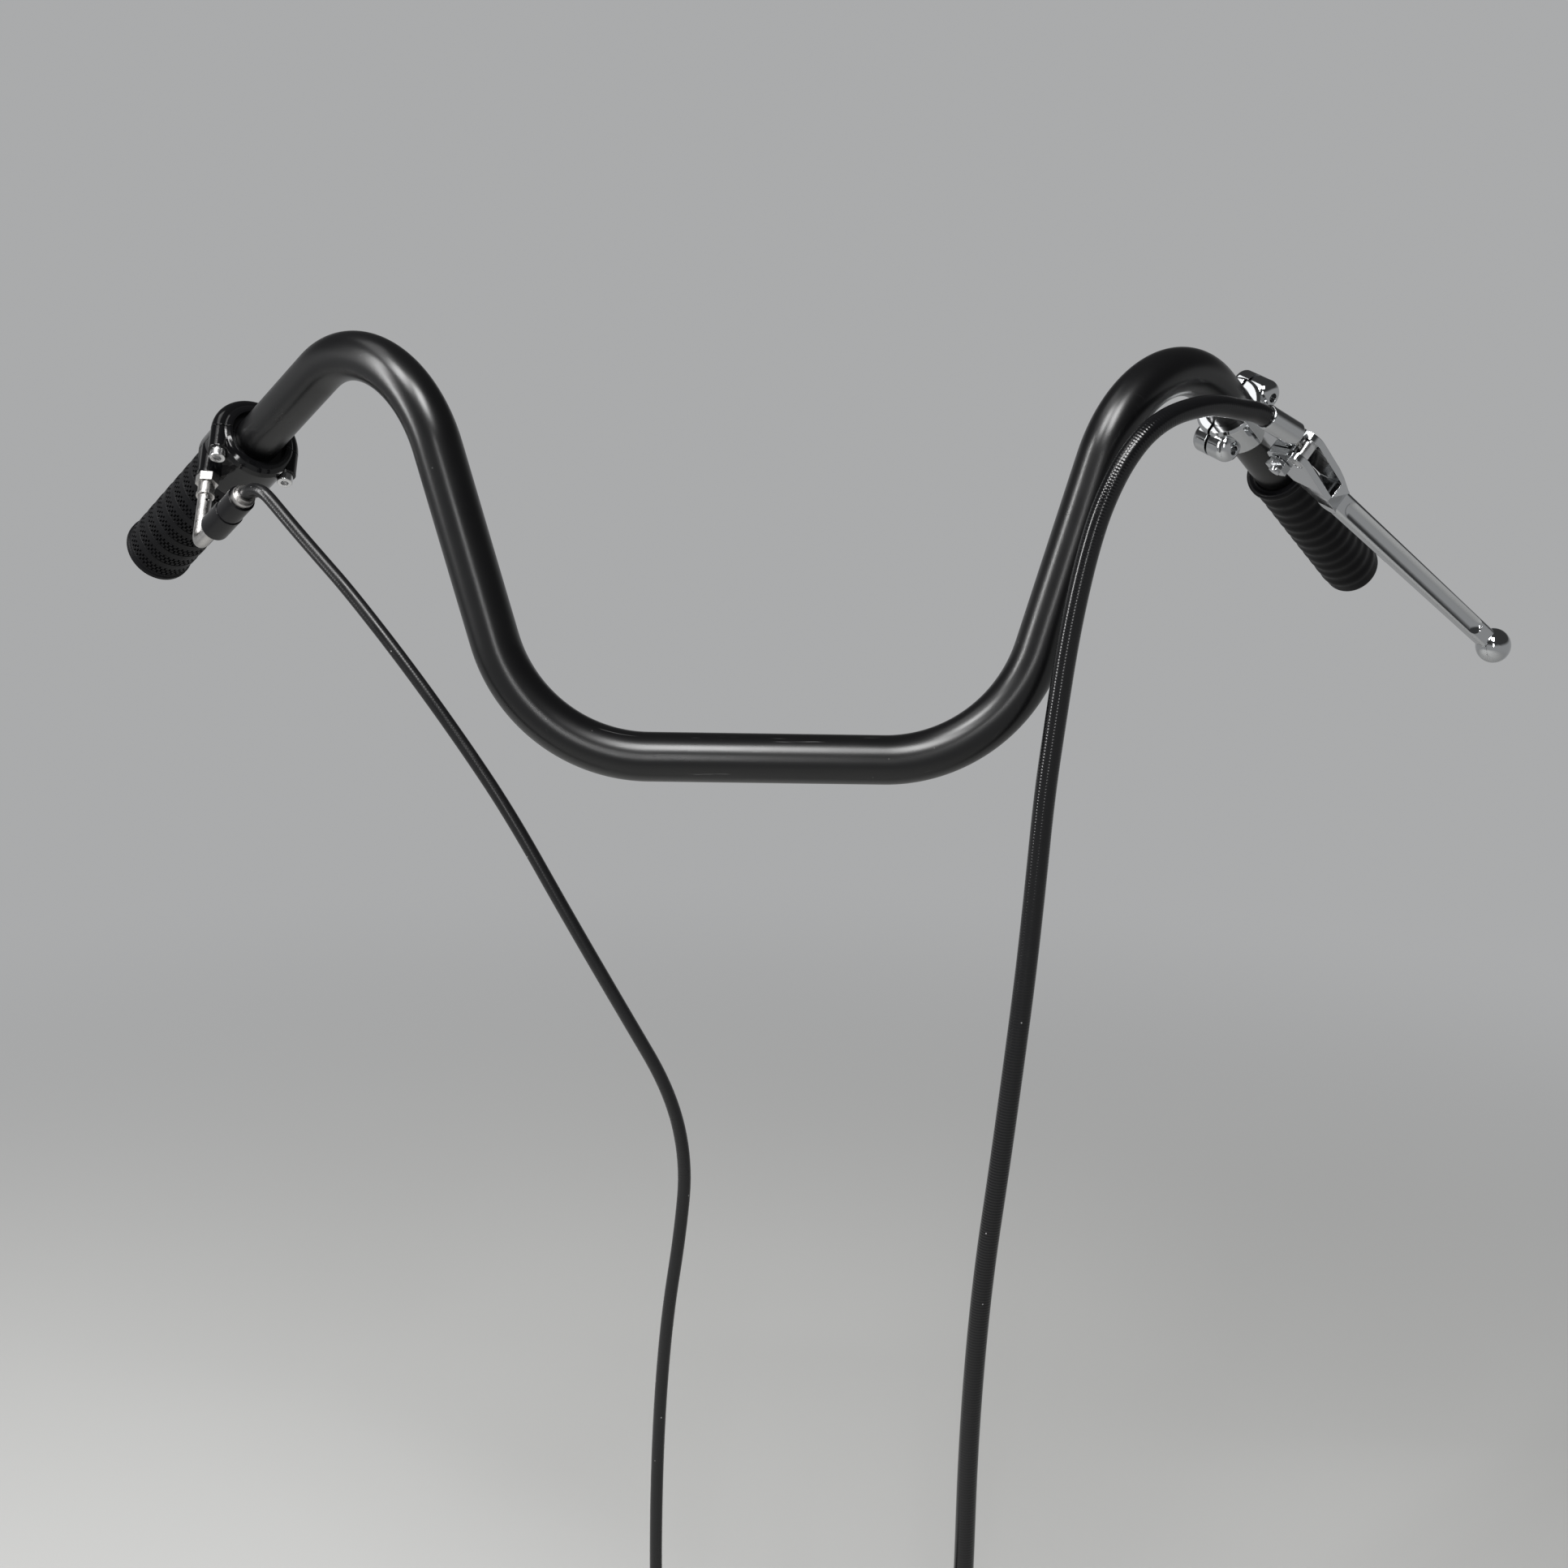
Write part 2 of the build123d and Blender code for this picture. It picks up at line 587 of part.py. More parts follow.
tongue_outline = Polyline(
    (8, perch_start + 1),
    (8, perch_end - 1),
    (MOUTH_FRONT - 12, MOUTH_STATION - 5),
    (MOUTH_FRONT, MOUTH_STATION - 6),
    (boss_tail.X - 2.5, boss_tail.Z - 1.5),
    (PIVOT_FRONT + 8.0, PIVOT_STATION + 3),
    (PIVOT_FRONT, PIVOT_STATION),
    (PIVOT_FRONT - 10, PIVOT_STATION - 3),
    close=True,
)
tongue_eye = Pos(PIVOT_FRONT, PIVOT_STATION) * Circle(PIVOT_EYE - 0.4)
tongue = make_face(tongue_outline) + tongue_eye
perch += extrude(Plane.XZ * tongue, amount=TONGUE_HALF, both=True)
boss = rounded_end(rod(BOSS_RADIUS, boss_tail, boss_mouth), boss_tail, boss_mouth, 0.8)
perch += boss
perch -= rod(CLUTCH_CABLE_D / 2 + CABLE_FIT, boss_mouth + way_out * CABLE_SEAT, boss_mouth - way_out)
perch -= rod(BOSS_WIRE_BORE, boss_mouth, boss_tail + way_out * 2)
reach = 4 * PERCH_RADIUS
pivot_low = Vector(PIVOT_FRONT, -reach, PIVOT_STATION)
pivot_high = Vector(PIVOT_FRONT, reach, PIVOT_STATION)
perch -= rod(PIVOT_RADIUS + SEAT_FIT, pivot_low, pivot_high)
bar_hole = rod(BAR_RADIUS + SEAT_FIT, (0, 0, perch_start - 20), (0, 0, perch_end + 16))
perch -= bar_hole
clamp -= bar_hole
half_space = Box(reach, 2 * reach, 2 * reach, align=(Align.MIN, Align.CENTER, Align.CENTER))
perch &= Pos(PERCH_SPLIT / 2, 0, PERCH_STATION) * half_space
clamp &= Pos(-PERCH_SPLIT / 2 - reach, 0, PERCH_STATION) * half_space
clamp_screws = []
for y in (-clamp_side, clamp_side):
    seat = Vector(-PERCH_BOSS_REAR + PERCH_HEAD_HEIGHT, y, PERCH_STATION)
    tip = Vector(PERCH_BOSS_FRONT - 5, y, PERCH_STATION)
    shank_hole = rod(PERCH_SCREW_RADIUS + SEAT_FIT, seat, (PERCH_BOSS_FRONT + 1, y, PERCH_STATION))
    perch -= shank_hole
    clamp -= shank_hole
    clamp -= rod(PERCH_HEAD_RADIUS + 0.3, seat, seat - Vector(PERCH_BOSS_REAR, 0, 0))
    clamp_screws.append(
        cap_screw(PERCH_SCREW_RADIUS, PERCH_HEAD_RADIUS, PERCH_HEAD_HEIGHT, seat, tip)
    )
made["clutch_perch"] = clutch_side * perch
made["perch_clamp"] = clutch_side * clamp
made["perch_clamp_screws"] = clutch_side * Compound(clamp_screws)

# Clutch lever: forked base, waist, tapering blade with a channel down its front, ball end
ear_inner = TONGUE_HALF + SIDE_PLAY
ear_outer = ear_inner + LEVER_EAR
in_plane = Vector(way_out.X, 0, way_out.Z).normalized()
barrel_at = Vector(MOUTH_FRONT, 0, MOUTH_STATION) + in_plane * BARREL_REACH
pivot_eye = Pos(PIVOT_FRONT, PIVOT_STATION) * Circle(PIVOT_EYE)
barrel_eye = Pos(barrel_at.X, barrel_at.Z) * Circle(BARREL_EYE)
root_eye = Pos(WAIST_FRONT + 1, FORK_END + 3) * Circle(WAIST_HALF + 2.5)
waist_eye = Pos(WAIST_FRONT, WAIST_STATION) * Circle(WAIST_HALF)
blade_way = Vector(BALL_FRONT - WAIST_FRONT, BALL_STATION - WAIST_STATION).normalized()
neck_at = Vector(BALL_FRONT, BALL_STATION) - blade_way * (BALL_RADIUS - 2)
base_plan = make_hull((pivot_eye + barrel_eye + root_eye).edges())
root_plan = make_hull((root_eye + waist_eye).edges())
side_points = [
    (ear_outer, PIVOT_STATION + reach),
    (ear_outer, FORK_END + 12),
    (BLADE_HALF_HEIGHT, WAIST_STATION + 2),
    (BLADE_HALF_HEIGHT, WAIST_STATION - 2 * WAIST_HALF),
]
side_outline = side_points + [(-y, z) for y, z in reversed(side_points)]
lever = extrude(Plane.XZ * (base_plan + root_plan), amount=2 * ear_outer, both=True)
lever &= extrude(Plane.YZ * make_face(Polyline(*side_outline, close=True)), amount=2 * BALL_FRONT)
blade_dir = Vector(blade_way.X, 0, blade_way.Y)
blade_front = Vector(-blade_way.Y, 0, blade_way.X)
blade_root = Vector(WAIST_FRONT, 0, WAIST_STATION) - blade_dir * (WAIST_HALF * 0.5)
root_plane = Plane(origin=blade_root, x_dir=blade_front, z_dir=blade_dir)
neck_plane = Plane(origin=(neck_at.X, 0, neck_at.Y), x_dir=blade_front, z_dir=blade_dir)
root_section = RectangleRounded(2 * WAIST_HALF - 0.5, 2 * BLADE_HALF_HEIGHT - 0.3, EDGE_ROUND)
neck_section = RectangleRounded(2 * NECK_HALF, 2 * NECK_HALF + 1, EDGE_ROUND)
lever += loft([root_plane * root_section, neck_plane * neck_section])
lever += Pos(BALL_FRONT, 0, BALL_STATION) * Sphere(BALL_RADIUS)
fork_gap = Box(2 * reach, 2 * ear_inner, 2 * reach, align=(Align.CENTER, Align.CENTER, Align.MIN))
lever -= Pos(PIVOT_FRONT, 0, FORK_END) * fork_gap
lever -= rod(PIVOT_RADIUS + RUNNING_FIT, pivot_low, pivot_high)
lever -= rod(BARREL_RADIUS + RUNNING_FIT, barrel_at - Vector(0, reach, 0), barrel_at + Vector(0, reach, 0))
channel_start = blade_root + blade_dir * CHANNEL_ROOT
channel_start += blade_front * (WAIST_HALF + CHANNEL_RADIUS - CHANNEL_DEPTH)
channel_end = Vector(neck_at.X, 0, neck_at.Y) - blade_dir * CHANNEL_TIP
channel_end += blade_front * (NECK_HALF + CHANNEL_RADIUS - CHANNEL_DEPTH)
lever -= rod(CHANNEL_RADIUS, channel_start, channel_end)
lever -= Pos(*channel_start) * Sphere(CHANNEL_RADIUS)
lever -= Pos(*channel_end) * Sphere(CHANNEL_RADIUS)
made["clutch_lever"] = clutch_side * lever

# Pivot bolt and nut
head_seat = ear_outer + SIDE_PLAY


def pivot(y):
    """Point on the lever's pivot."""
    return Vector(PIVOT_FRONT, y, PIVOT_STATION)


bolt_top = head_seat + PIVOT_HEAD_HEIGHT
bolt = rounded_end(
    rod(PIVOT_HEAD_RADIUS, pivot(head_seat), pivot(bolt_top)), pivot(head_seat), pivot(bolt_top), 1.2
)
bolt += rod(PIVOT_RADIUS, pivot(bolt_top - 1), pivot(-head_seat))
bolt += rod(PIVOT_THREAD_RADIUS, pivot(0), pivot(-head_seat - PIVOT_NUT_HEIGHT - 1.5))
bolt -= hexagon(HEX_KEY, pivot(bolt_top), pivot(bolt_top - 2.2))
made["lever_pivot_bolt"] = clutch_side * bolt
pivot_nut = hexagon(PIVOT_NUT_FLATS, pivot(-head_seat - SEAT_FIT), pivot(-head_seat - PIVOT_NUT_HEIGHT))
pivot_nut -= rod(PIVOT_THREAD_RADIUS + SEAT_FIT, pivot_low, pivot_high)
made["lever_pivot_nut"] = clutch_side * pivot_nut

# Cable barrel in the lever and the bare wire that it pulls out of the boss
wire_start = Vector(MOUTH_FRONT, 0, MOUTH_STATION) + in_plane * (CABLE_SEAT + 2.5)
wire = rod(CLUTCH_WIRE_D / 2, wire_start, barrel_at)
barrel_half = Vector(0, ear_outer - 0.2, 0)
barrel = rod(BARREL_RADIUS, barrel_at - barrel_half, barrel_at + barrel_half)
barrel -= rod(CLUTCH_WIRE_D / 2, wire_start, barrel_at)
made["lever_cable_barrel"] = clutch_side * barrel
made["clutch_inner_wire"] = clutch_side * wire

# Clutch cable from its seat in the perch to the coil, and its free end below the coil
clutch_start = [
    world(clutch_side, boss_mouth + way_out * (CABLE_SEAT - SEAT_FIT)),
    world(clutch_side, boss_mouth - way_out * 6.0),
]
coil_join = Vector(CLUTCH_ROUTE[-1][0], CLUTCH_ROUTE[-1][1], COIL_TOP)
coil_middle = coil_join + Vector(-COIL_RADIUS, COIL_PITCH / 2, 0)
clutch_points = clutch_start + [Vector(*p) for p in CLUTCH_ROUTE] + [coil_join + Vector(0, -0.6, 0)]
print("clutch cable starts", [tuple(round(v, 2) for v in p) for p in clutch_start])
made["clutch_cable"] = cable("clutch_cable", clutch_points, CLUTCH_CABLE_D)
coil_section = Pos(COIL_RADIUS, 0) * RectangleRounded(
    CLUTCH_CABLE_D, CLUTCH_CABLE_D + COIL_PITCH, CLUTCH_CABLE_D / 2 - 0.1
)
coil = Pos(*coil_middle) * revolve(coil_section, Axis.Y)
made["clutch_cable_coil"] = coil
tail_start = coil_join + Vector(0, COIL_PITCH, -0.5)
tail_end = tail_start - Vector(0, 0, CLUTCH_TAIL)
made["clutch_cable_tail"] = rod(CLUTCH_CABLE_D / 2, tail_start, tail_end)
cable_end("clutch", tail_start, tail_end, CLUTCH_CABLE_D, CLUTCH_WIRE_D)
tie_inner = (CLUTCH_CABLE_D + 0.2, CLUTCH_CABLE_D + COIL_PITCH + 0.2)
tie_outer = (tie_inner[0] + 2 * TIE_WALL, tie_inner[1] + 2 * TIE_WALL)
tie_loop = RectangleRounded(*tie_outer, TIE_WALL * 3) - RectangleRounded(*tie_inner, TIE_WALL * 2)
tie_loop = extrude(tie_loop, amount=TIE_WIDTH / 2, both=True)
made["clutch_coil_tie"] = Pos(*(coil_middle - Vector(COIL_RADIUS, 0, 0))) * tie_loop - coil

for name, shape in made.items():
    export_step(shape, "parts/" + name + ".step")
    print(name, "solids", len(shape.solids()), "volume", round(shape.volume, 1))
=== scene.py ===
# %% [markdown]
# A dressed ape hanger handlebar
#
# A tall bent bar carries a twist throttle on its left leg, a clutch lever on its right leg and a cable from
# each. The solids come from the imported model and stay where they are. This lesson sets up the camera, makes
# smoother pieces for the bar, the clutch grip and the two cables, and adds the waffle pips of the throttle
# grip, the finishes and the studio.

import math

import bmesh
import bpy
from mathutils import Matrix, Vector


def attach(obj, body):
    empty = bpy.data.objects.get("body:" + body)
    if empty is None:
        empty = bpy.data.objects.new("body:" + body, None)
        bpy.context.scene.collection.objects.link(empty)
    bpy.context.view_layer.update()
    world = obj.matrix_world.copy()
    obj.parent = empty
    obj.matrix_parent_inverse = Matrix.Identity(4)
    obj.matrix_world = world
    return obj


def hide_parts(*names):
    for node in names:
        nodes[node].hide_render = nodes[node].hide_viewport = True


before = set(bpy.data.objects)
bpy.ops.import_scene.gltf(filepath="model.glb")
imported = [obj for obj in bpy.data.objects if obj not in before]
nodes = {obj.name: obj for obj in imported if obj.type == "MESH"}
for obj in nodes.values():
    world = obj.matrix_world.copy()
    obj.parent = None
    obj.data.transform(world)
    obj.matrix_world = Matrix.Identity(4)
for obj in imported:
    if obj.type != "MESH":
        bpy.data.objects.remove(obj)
scene = bpy.context.scene
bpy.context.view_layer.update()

# %% [markdown]
# The camera
#
# The camera stands in front of the bar and a little above it, looking down at it. Its pitch, yaw, lean, focal
# length and distance were solved from the edges of the bar, so they are written down as they are. A camera's
# matrix has three columns, right, up and back, and then its place. The origin is the middle of the bar, and
# MIDDLE_PX is where it lies in a square picture of FRAME_PX a side.

# %% Camera
def add_object(name, data):
    made = bpy.data.objects.new(name, data)
    scene.collection.objects.link(made)
    return made


PITCH = math.radians(15.08)
YAW = math.radians(1.57)
LEAN = math.radians(1.23)
FOCAL_PX = 2999.0
FRAME_PX = 1932.0
DISTANCE = 1.2409
MIDDLE_PX = Vector((944.1, 934.3))

right = Vector((math.cos(YAW) * math.cos(LEAN), -math.sin(YAW) * math.cos(LEAN), math.sin(LEAN)))
lift = Vector((-math.cos(YAW) * math.sin(LEAN), math.sin(YAW) * math.sin(LEAN), math.cos(LEAN)))
ahead = Vector((math.sin(YAW), math.cos(YAW), 0.0))
up = ahead * math.sin(PITCH) + lift * math.cos(PITCH)
forward = ahead * math.cos(PITCH) - lift * math.sin(PITCH)
side_shift = DISTANCE * (MIDDLE_PX.x - FRAME_PX / 2) / FOCAL_PX
drop_shift = DISTANCE * (MIDDLE_PX.y - FRAME_PX / 2) / FOCAL_PX
eye = -(right * side_shift - up * drop_shift + forward * DISTANCE)

lens = bpy.data.cameras.new("viewpoint")
lens.sensor_width = 36.0
lens.lens = FOCAL_PX * lens.sensor_width / FRAME_PX
lens.clip_start = 0.05
lens.clip_end = 30.0
viewpoint = add_object("viewpoint", lens)
columns = Matrix((right, up, -forward)).transposed().to_4x4()
viewpoint.matrix_world = Matrix.Translation(eye) @ columns
scene.camera = viewpoint
print("camera at", [round(v, 3) for v in eye], "lens", round(lens.lens, 2), "mm")

# %% [markdown]
# Node helpers
#
# Every tree below is made of the same few moves: place a node, set its values, join two sockets. These three
# helpers keep the later cells short. A plain number given to `feed` is written on the socket, and a socket
# given to it is linked.

# %% Node helpers
def feed(tree, socket, source):
    if isinstance(source, bpy.types.NodeSocket):
        tree.links.new(source, socket)
    else:
        socket.default_value = source


def place(tree, kind, inputs=None, **settings):
    made = tree.nodes.new(kind)
    for setting, value in settings.items():
        setattr(made, setting, value)
    for key, source in (inputs or {}).items():
        feed(tree, made.inputs[key], source)
    return made


def sums(tree, operation, *terms):
    return place(tree, "ShaderNodeMath", dict(enumerate(terms)), operation=operation).outputs[0]


# %% [markdown]
# Shaped by Geometry Nodes
#
# The bar and the cables follow a path and the pips repeat round a grip, so all of them are grown by Geometry
# Nodes. A tree's named inputs are set on its modifier by their identifiers before the object is first looked
# at. The result is then turned into a plain mesh, because the modifier must be gone before the piece joins
# the model. Bar and cables are each a circle carried along a line, so they share `sweep`.

# %% Geometry Nodes helpers
KINDS = {"float": "NodeSocketFloat", "int": "NodeSocketInt", "material": "NodeSocketMaterial"}


def open_tree(name, sizes):
    tree = bpy.data.node_groups.new(name, "GeometryNodeTree")
    tree.interface.new_socket("Geometry", in_out="INPUT", socket_type="NodeSocketGeometry")
    tree.interface.new_socket("Geometry", in_out="OUTPUT", socket_type="NodeSocketGeometry")
    ids = {}
    for label, kind in sizes:
        ids[label] = tree.interface.new_socket(label, in_out="INPUT", socket_type=KINDS[kind]).identifier
    return tree, place(tree, "NodeGroupInput").outputs, ids


def close_tree(tree, shape, material):
    real = place(tree, "GeometryNodeRealizeInstances", {"Geometry": shape})
    painted = place(tree, "GeometryNodeSetMaterial", {"Geometry": real.outputs[0], "Material": material})
    place(tree, "NodeGroupOutput", {0: painted.outputs[0]})


def sweep(tree, line, given):
    ring = place(tree, "GeometryNodeCurvePrimitiveCircle",
                 {"Resolution": given["Sides"], "Radius": given["Radius"]}).outputs[0]
    tube = place(tree, "GeometryNodeCurveToMesh",
                 {"Curve": line, "Profile Curve": ring, "Fill Caps": True}).outputs[0]
    return place(tree, "GeometryNodeSetShadeSmooth", {"Geometry": tube}).outputs[0]


def plain_mesh(held):
    depsgraph = bpy.context.evaluated_depsgraph_get()
    return bpy.data.meshes.new_from_object(held.evaluated_get(depsgraph), depsgraph=depsgraph)


def grow(name, tree, ids, values, start=None):
    seedling = add_object(name + "_start", start or bpy.data.meshes.new(name + "_start"))
    modifier = seedling.modifiers.new("grow", "NODES")
    modifier.node_group = tree
    for label, value in values.items():
        modifier[ids[label]] = value
    mesh = plain_mesh(seedling)
    seedling.modifiers.remove(modifier)
    bpy.data.objects.remove(seedling)
    mesh.name = name
    return add_object(name, mesh)


# %% [markdown]
# Shared effects
#
# Real finishes are never even. Four small shader groups give what most of them share: slow cloudy changes in
# gloss, a fine grain that only tilts the surface, thin scratches, and specks of dust or nicks. They read
# Object coordinates, in metres, so a scale of 1000 gives features of about a millimetre.

# %% Effect groups
def open_effect(name, numbers, outputs):
    tree = bpy.data.node_groups.new(name, "ShaderNodeTree")
    for label, value in numbers:
        tree.interface.new_socket(label, in_out="INPUT", socket_type="NodeSocketFloat").default_value = value
    for label in outputs:
        tree.interface.new_socket(label, in_out="OUTPUT", socket_type="NodeSocketFloat")
    where = place(tree, "ShaderNodeTexCoord").outputs["Object"]
    return tree, place(tree, "NodeGroupInput").outputs, place(tree, "NodeGroupOutput"), where


def cloudy_gloss():
    tree, given, result, where = open_effect(
        "cloudy_gloss", [("Scale", 60.0), ("Low", 0.3), ("High", 0.5)], ["Value"])
    cloud = place(tree, "ShaderNodeTexNoise", {"Vector": where, "Scale": given["Scale"], "Detail": 5.0,
                                               "Roughness": 0.6})
    spread = place(tree, "ShaderNodeMapRange", {"Value": cloud.outputs[0], "From Min": 0.3, "From Max": 0.7,
                                                "To Min": given["Low"], "To Max": given["High"]})
    feed(tree, result.inputs["Value"], spread.outputs[0])
    return tree


def fine_grain():
    tree, given, result, where = open_effect("fine_grain", [("Scale", 900.0), ("Detail", 3.0)], ["Height"])
    grain = place(tree, "ShaderNodeTexNoise", {"Vector": where, "Scale": given["Scale"],
                                               "Detail": given["Detail"], "Roughness": 0.55})
    feed(tree, result.inputs["Height"], grain.outputs[0])
    return tree


SCRATCH_TURN_Y = 2.3
SCRATCH_TURN_Z = 0.7
SCRATCH_EDGE = 0.06


def thin_scratches():
    tree, given, result, where = open_effect(
        "thin_scratches", [("Length", 30.0), ("Fineness", 1400.0), ("Turn", 0.6), ("Cover", 0.70)], ["Mask"])
    turn = place(tree, "ShaderNodeCombineXYZ", {
        "X": given["Turn"], "Y": sums(tree, "MULTIPLY", given["Turn"], SCRATCH_TURN_Y),
        "Z": sums(tree, "MULTIPLY", given["Turn"], SCRATCH_TURN_Z)})
    stretch = place(tree, "ShaderNodeCombineXYZ", {"X": given["Length"], "Y": given["Fineness"],
                                                   "Z": given["Length"]})
    along = place(tree, "ShaderNodeMapping", {"Vector": where, "Rotation": turn.outputs[0],
                                              "Scale": stretch.outputs[0]})
    lines = place(tree, "ShaderNodeTexNoise", {"Vector": along.outputs[0], "Scale": 1.0, "Detail": 2.0})
    cut = place(tree, "ShaderNodeMapRange", {"Value": lines.outputs[0], "From Min": given["Cover"],
                                             "From Max": sums(tree, "ADD", given["Cover"], SCRATCH_EDGE)})
    feed(tree, result.inputs["Mask"], cut.outputs[0])
    return tree


def pale_specks():
    tree, given, result, where = open_effect(
        "pale_specks", [("Scale", 350.0), ("Size", 0.16), ("Share", 0.12)], ["Mask"])
    cells = place(tree, "ShaderNodeTexVoronoi", {"Vector": where, "Scale": given["Scale"]})
    chosen = place(tree, "ShaderNodeSeparateColor", {"Color": cells.outputs["Color"]})
    near = sums(tree, "LESS_THAN", cells.outputs["Distance"], given["Size"])
    kept = sums(tree, "LESS_THAN", chosen.outputs[0], given["Share"])
    feed(tree, result.inputs["Mask"], sums(tree, "MULTIPLY", near, kept))
    return tree


CLOUDS = cloudy_gloss()
GRAIN = fine_grain()
SCRATCHES = thin_scratches()
SPECKS = pale_specks()
print("effects:", [group.name for group in (CLOUDS, GRAIN, SCRATCHES, SPECKS)])

# %% [markdown]
# A finish
#
# Each finish starts from one Principled shader. A number that is the same all over is written straight on its
# socket, and only what changes over the surface is linked. `effect` places a shared group in a material with
# that material's own values, `blend_colours` lays one colour over another by a mask, and `tilt` turns a
# height into small slopes. A Mix node keeps its sockets for colours at fixed places, which are named here.

# %% Finish helpers
MIX_BASE = 6
MIX_OVER = 7
MIX_RESULT = 2


def open_finish(name, colour, roughness, metallic=0.0):
    finish = bpy.data.materials.new(name)
    finish.use_nodes = True
    tree = finish.node_tree
    shader = tree.nodes["Principled BSDF"]
    shader.inputs["Base Color"].default_value = (*colour, 1.0)
    shader.inputs["Roughness"].default_value = roughness
    shader.inputs["Metallic"].default_value = metallic
    return finish, tree, shader


def effect(tree, group, output, **values):
    made = tree.nodes.new("ShaderNodeGroup")
    made.node_tree = group
    for label, value in values.items():
        made.inputs[label].default_value = value
    return made.outputs[output]


def blend_colours(tree, mask, base, over):
    made = place(tree, "ShaderNodeMix",
                 {"Factor": mask, MIX_BASE: (*base, 1.0), MIX_OVER: (*over, 1.0)}, data_type="RGBA")
    return made.outputs[MIX_RESULT]


def tilt(tree, shader, height, strength, depth, rounded=None):
    bump = place(tree, "ShaderNodeBump", {"Height": height, "Strength": strength, "Distance": depth})
    if rounded:
        soft = place(tree, "ShaderNodeBevel", {"Radius": rounded}, samples=4)
        feed(tree, bump.inputs["Normal"], soft.outputs[0])
    feed(tree, shader.inputs["Normal"], bump.outputs[0])


# %% [markdown]
# The bar's satin black
#
# The bar is powder coated: a soft, broad highlight and a very fine peel. Near the middle, where the bar is
# clamped, the coat has a few short pale scratches from fitting. A mask on the distance from the middle keeps
# them there.

# %% Bar paint
BAR_BLACK = (0.0025, 0.0025, 0.0028)
BAR_SCRATCH = (0.15, 0.15, 0.15)
SCRATCHED_TO = 0.05
UNMARKED_FROM = 0.12
SCRATCH_SHARE = 0.6
FLECK_SHARE = 0.35


def bar_paint():
    finish, tree, shader = open_finish("bar_paint", BAR_BLACK, 0.29)
    shader.inputs["Specular IOR Level"].default_value = 0.46
    where = place(tree, "ShaderNodeTexCoord").outputs["Object"]
    middle = place(tree, "ShaderNodeVectorMath", {0: where}, operation="LENGTH").outputs["Value"]
    fitted = place(tree, "ShaderNodeMapRange", {
        "Value": middle, "From Min": SCRATCHED_TO, "From Max": UNMARKED_FROM,
        "To Min": 1.0, "To Max": 0.05}).outputs[0]
    lines = effect(tree, SCRATCHES, "Mask", Length=40.0, Fineness=1600.0, Turn=0.5, Cover=0.70)
    specks = effect(tree, SPECKS, "Mask", Scale=260.0, Size=0.10, Share=0.05)
    marks = sums(tree, "MULTIPLY", lines, fitted)
    flecked = sums(tree, "MULTIPLY", specks, FLECK_SHARE)
    worn = sums(tree, "MAXIMUM", sums(tree, "MULTIPLY", marks, SCRATCH_SHARE), flecked)
    feed(tree, shader.inputs["Base Color"], blend_colours(tree, worn, BAR_BLACK, BAR_SCRATCH))
    feed(tree, shader.inputs["Roughness"], effect(tree, CLOUDS, "Value", Scale=35.0, Low=0.27, High=0.31))
    peel = effect(tree, GRAIN, "Height", Scale=1500.0, Detail=2.0)
    tilt(tree, shader, peel, strength=0.02, depth=0.0003)
    return finish


BAR_PAINT = bar_paint()
print("finish:", BAR_PAINT.name)

# %% [markdown]
# Gloss black and chrome
#
# The throttle housing is cast and then sprayed gloss black, so it mirrors the studio with a slight ripple.
# The perch and lever are polished and chromed: almost a mirror, with faint smears and hairlines. Neither has
# a razor edge, so a Bevel node rounds their corners for the light.

# %% Housing paint and chrome
HOUSING_BLACK = (0.003, 0.003, 0.0034)
HOUSING_NICK = (0.13, 0.13, 0.13)
NICK_SHARE = 0.5
CHROME_TONE = (0.52, 0.53, 0.54)
CHROME_PIT = (0.30, 0.29, 0.28)
HAIRLINE_ROUGHNESS = 0.10


def housing_paint():
    finish, tree, shader = open_finish("housing_paint", HOUSING_BLACK, 0.14)
    shader.inputs["Specular IOR Level"].default_value = 0.36
    specks = effect(tree, SPECKS, "Mask", Scale=420.0, Size=0.09, Share=0.05)
    nicks = sums(tree, "MULTIPLY", specks, NICK_SHARE)
    feed(tree, shader.inputs["Base Color"], blend_colours(tree, nicks, HOUSING_BLACK, HOUSING_NICK))
    feed(tree, shader.inputs["Roughness"], effect(tree, CLOUDS, "Value", Scale=70.0, Low=0.06, High=0.14))
    ripple = effect(tree, GRAIN, "Height", Scale=420.0, Detail=2.0)
    tilt(tree, shader, ripple, strength=0.10, depth=0.0004, rounded=0.0007)
    return finish


def chrome():
    finish, tree, shader = open_finish("chrome", CHROME_TONE, 0.06, 1.0)
    hairlines = effect(tree, SCRATCHES, "Mask", Length=25.0, Fineness=1800.0, Turn=1.1, Cover=0.66)
    smears = effect(tree, CLOUDS, "Value", Scale=55.0, Low=0.035, High=0.10)
    feed(tree, shader.inputs["Roughness"],
         sums(tree, "ADD", smears, sums(tree, "MULTIPLY", hairlines, HAIRLINE_ROUGHNESS)))
    pits = effect(tree, SPECKS, "Mask", Scale=500.0, Size=0.08, Share=0.06)
    feed(tree, shader.inputs["Base Color"], blend_colours(tree, pits, CHROME_TONE, CHROME_PIT))
    waves = effect(tree, GRAIN, "Height", Scale=160.0, Detail=1.0)
    tilt(tree, shader, waves, strength=0.06, depth=0.0006, rounded=0.0006)
    return finish


HOUSING_PAINT = housing_paint()
CHROME = chrome()
print("finishes:", HOUSING_PAINT.name, CHROME.name)

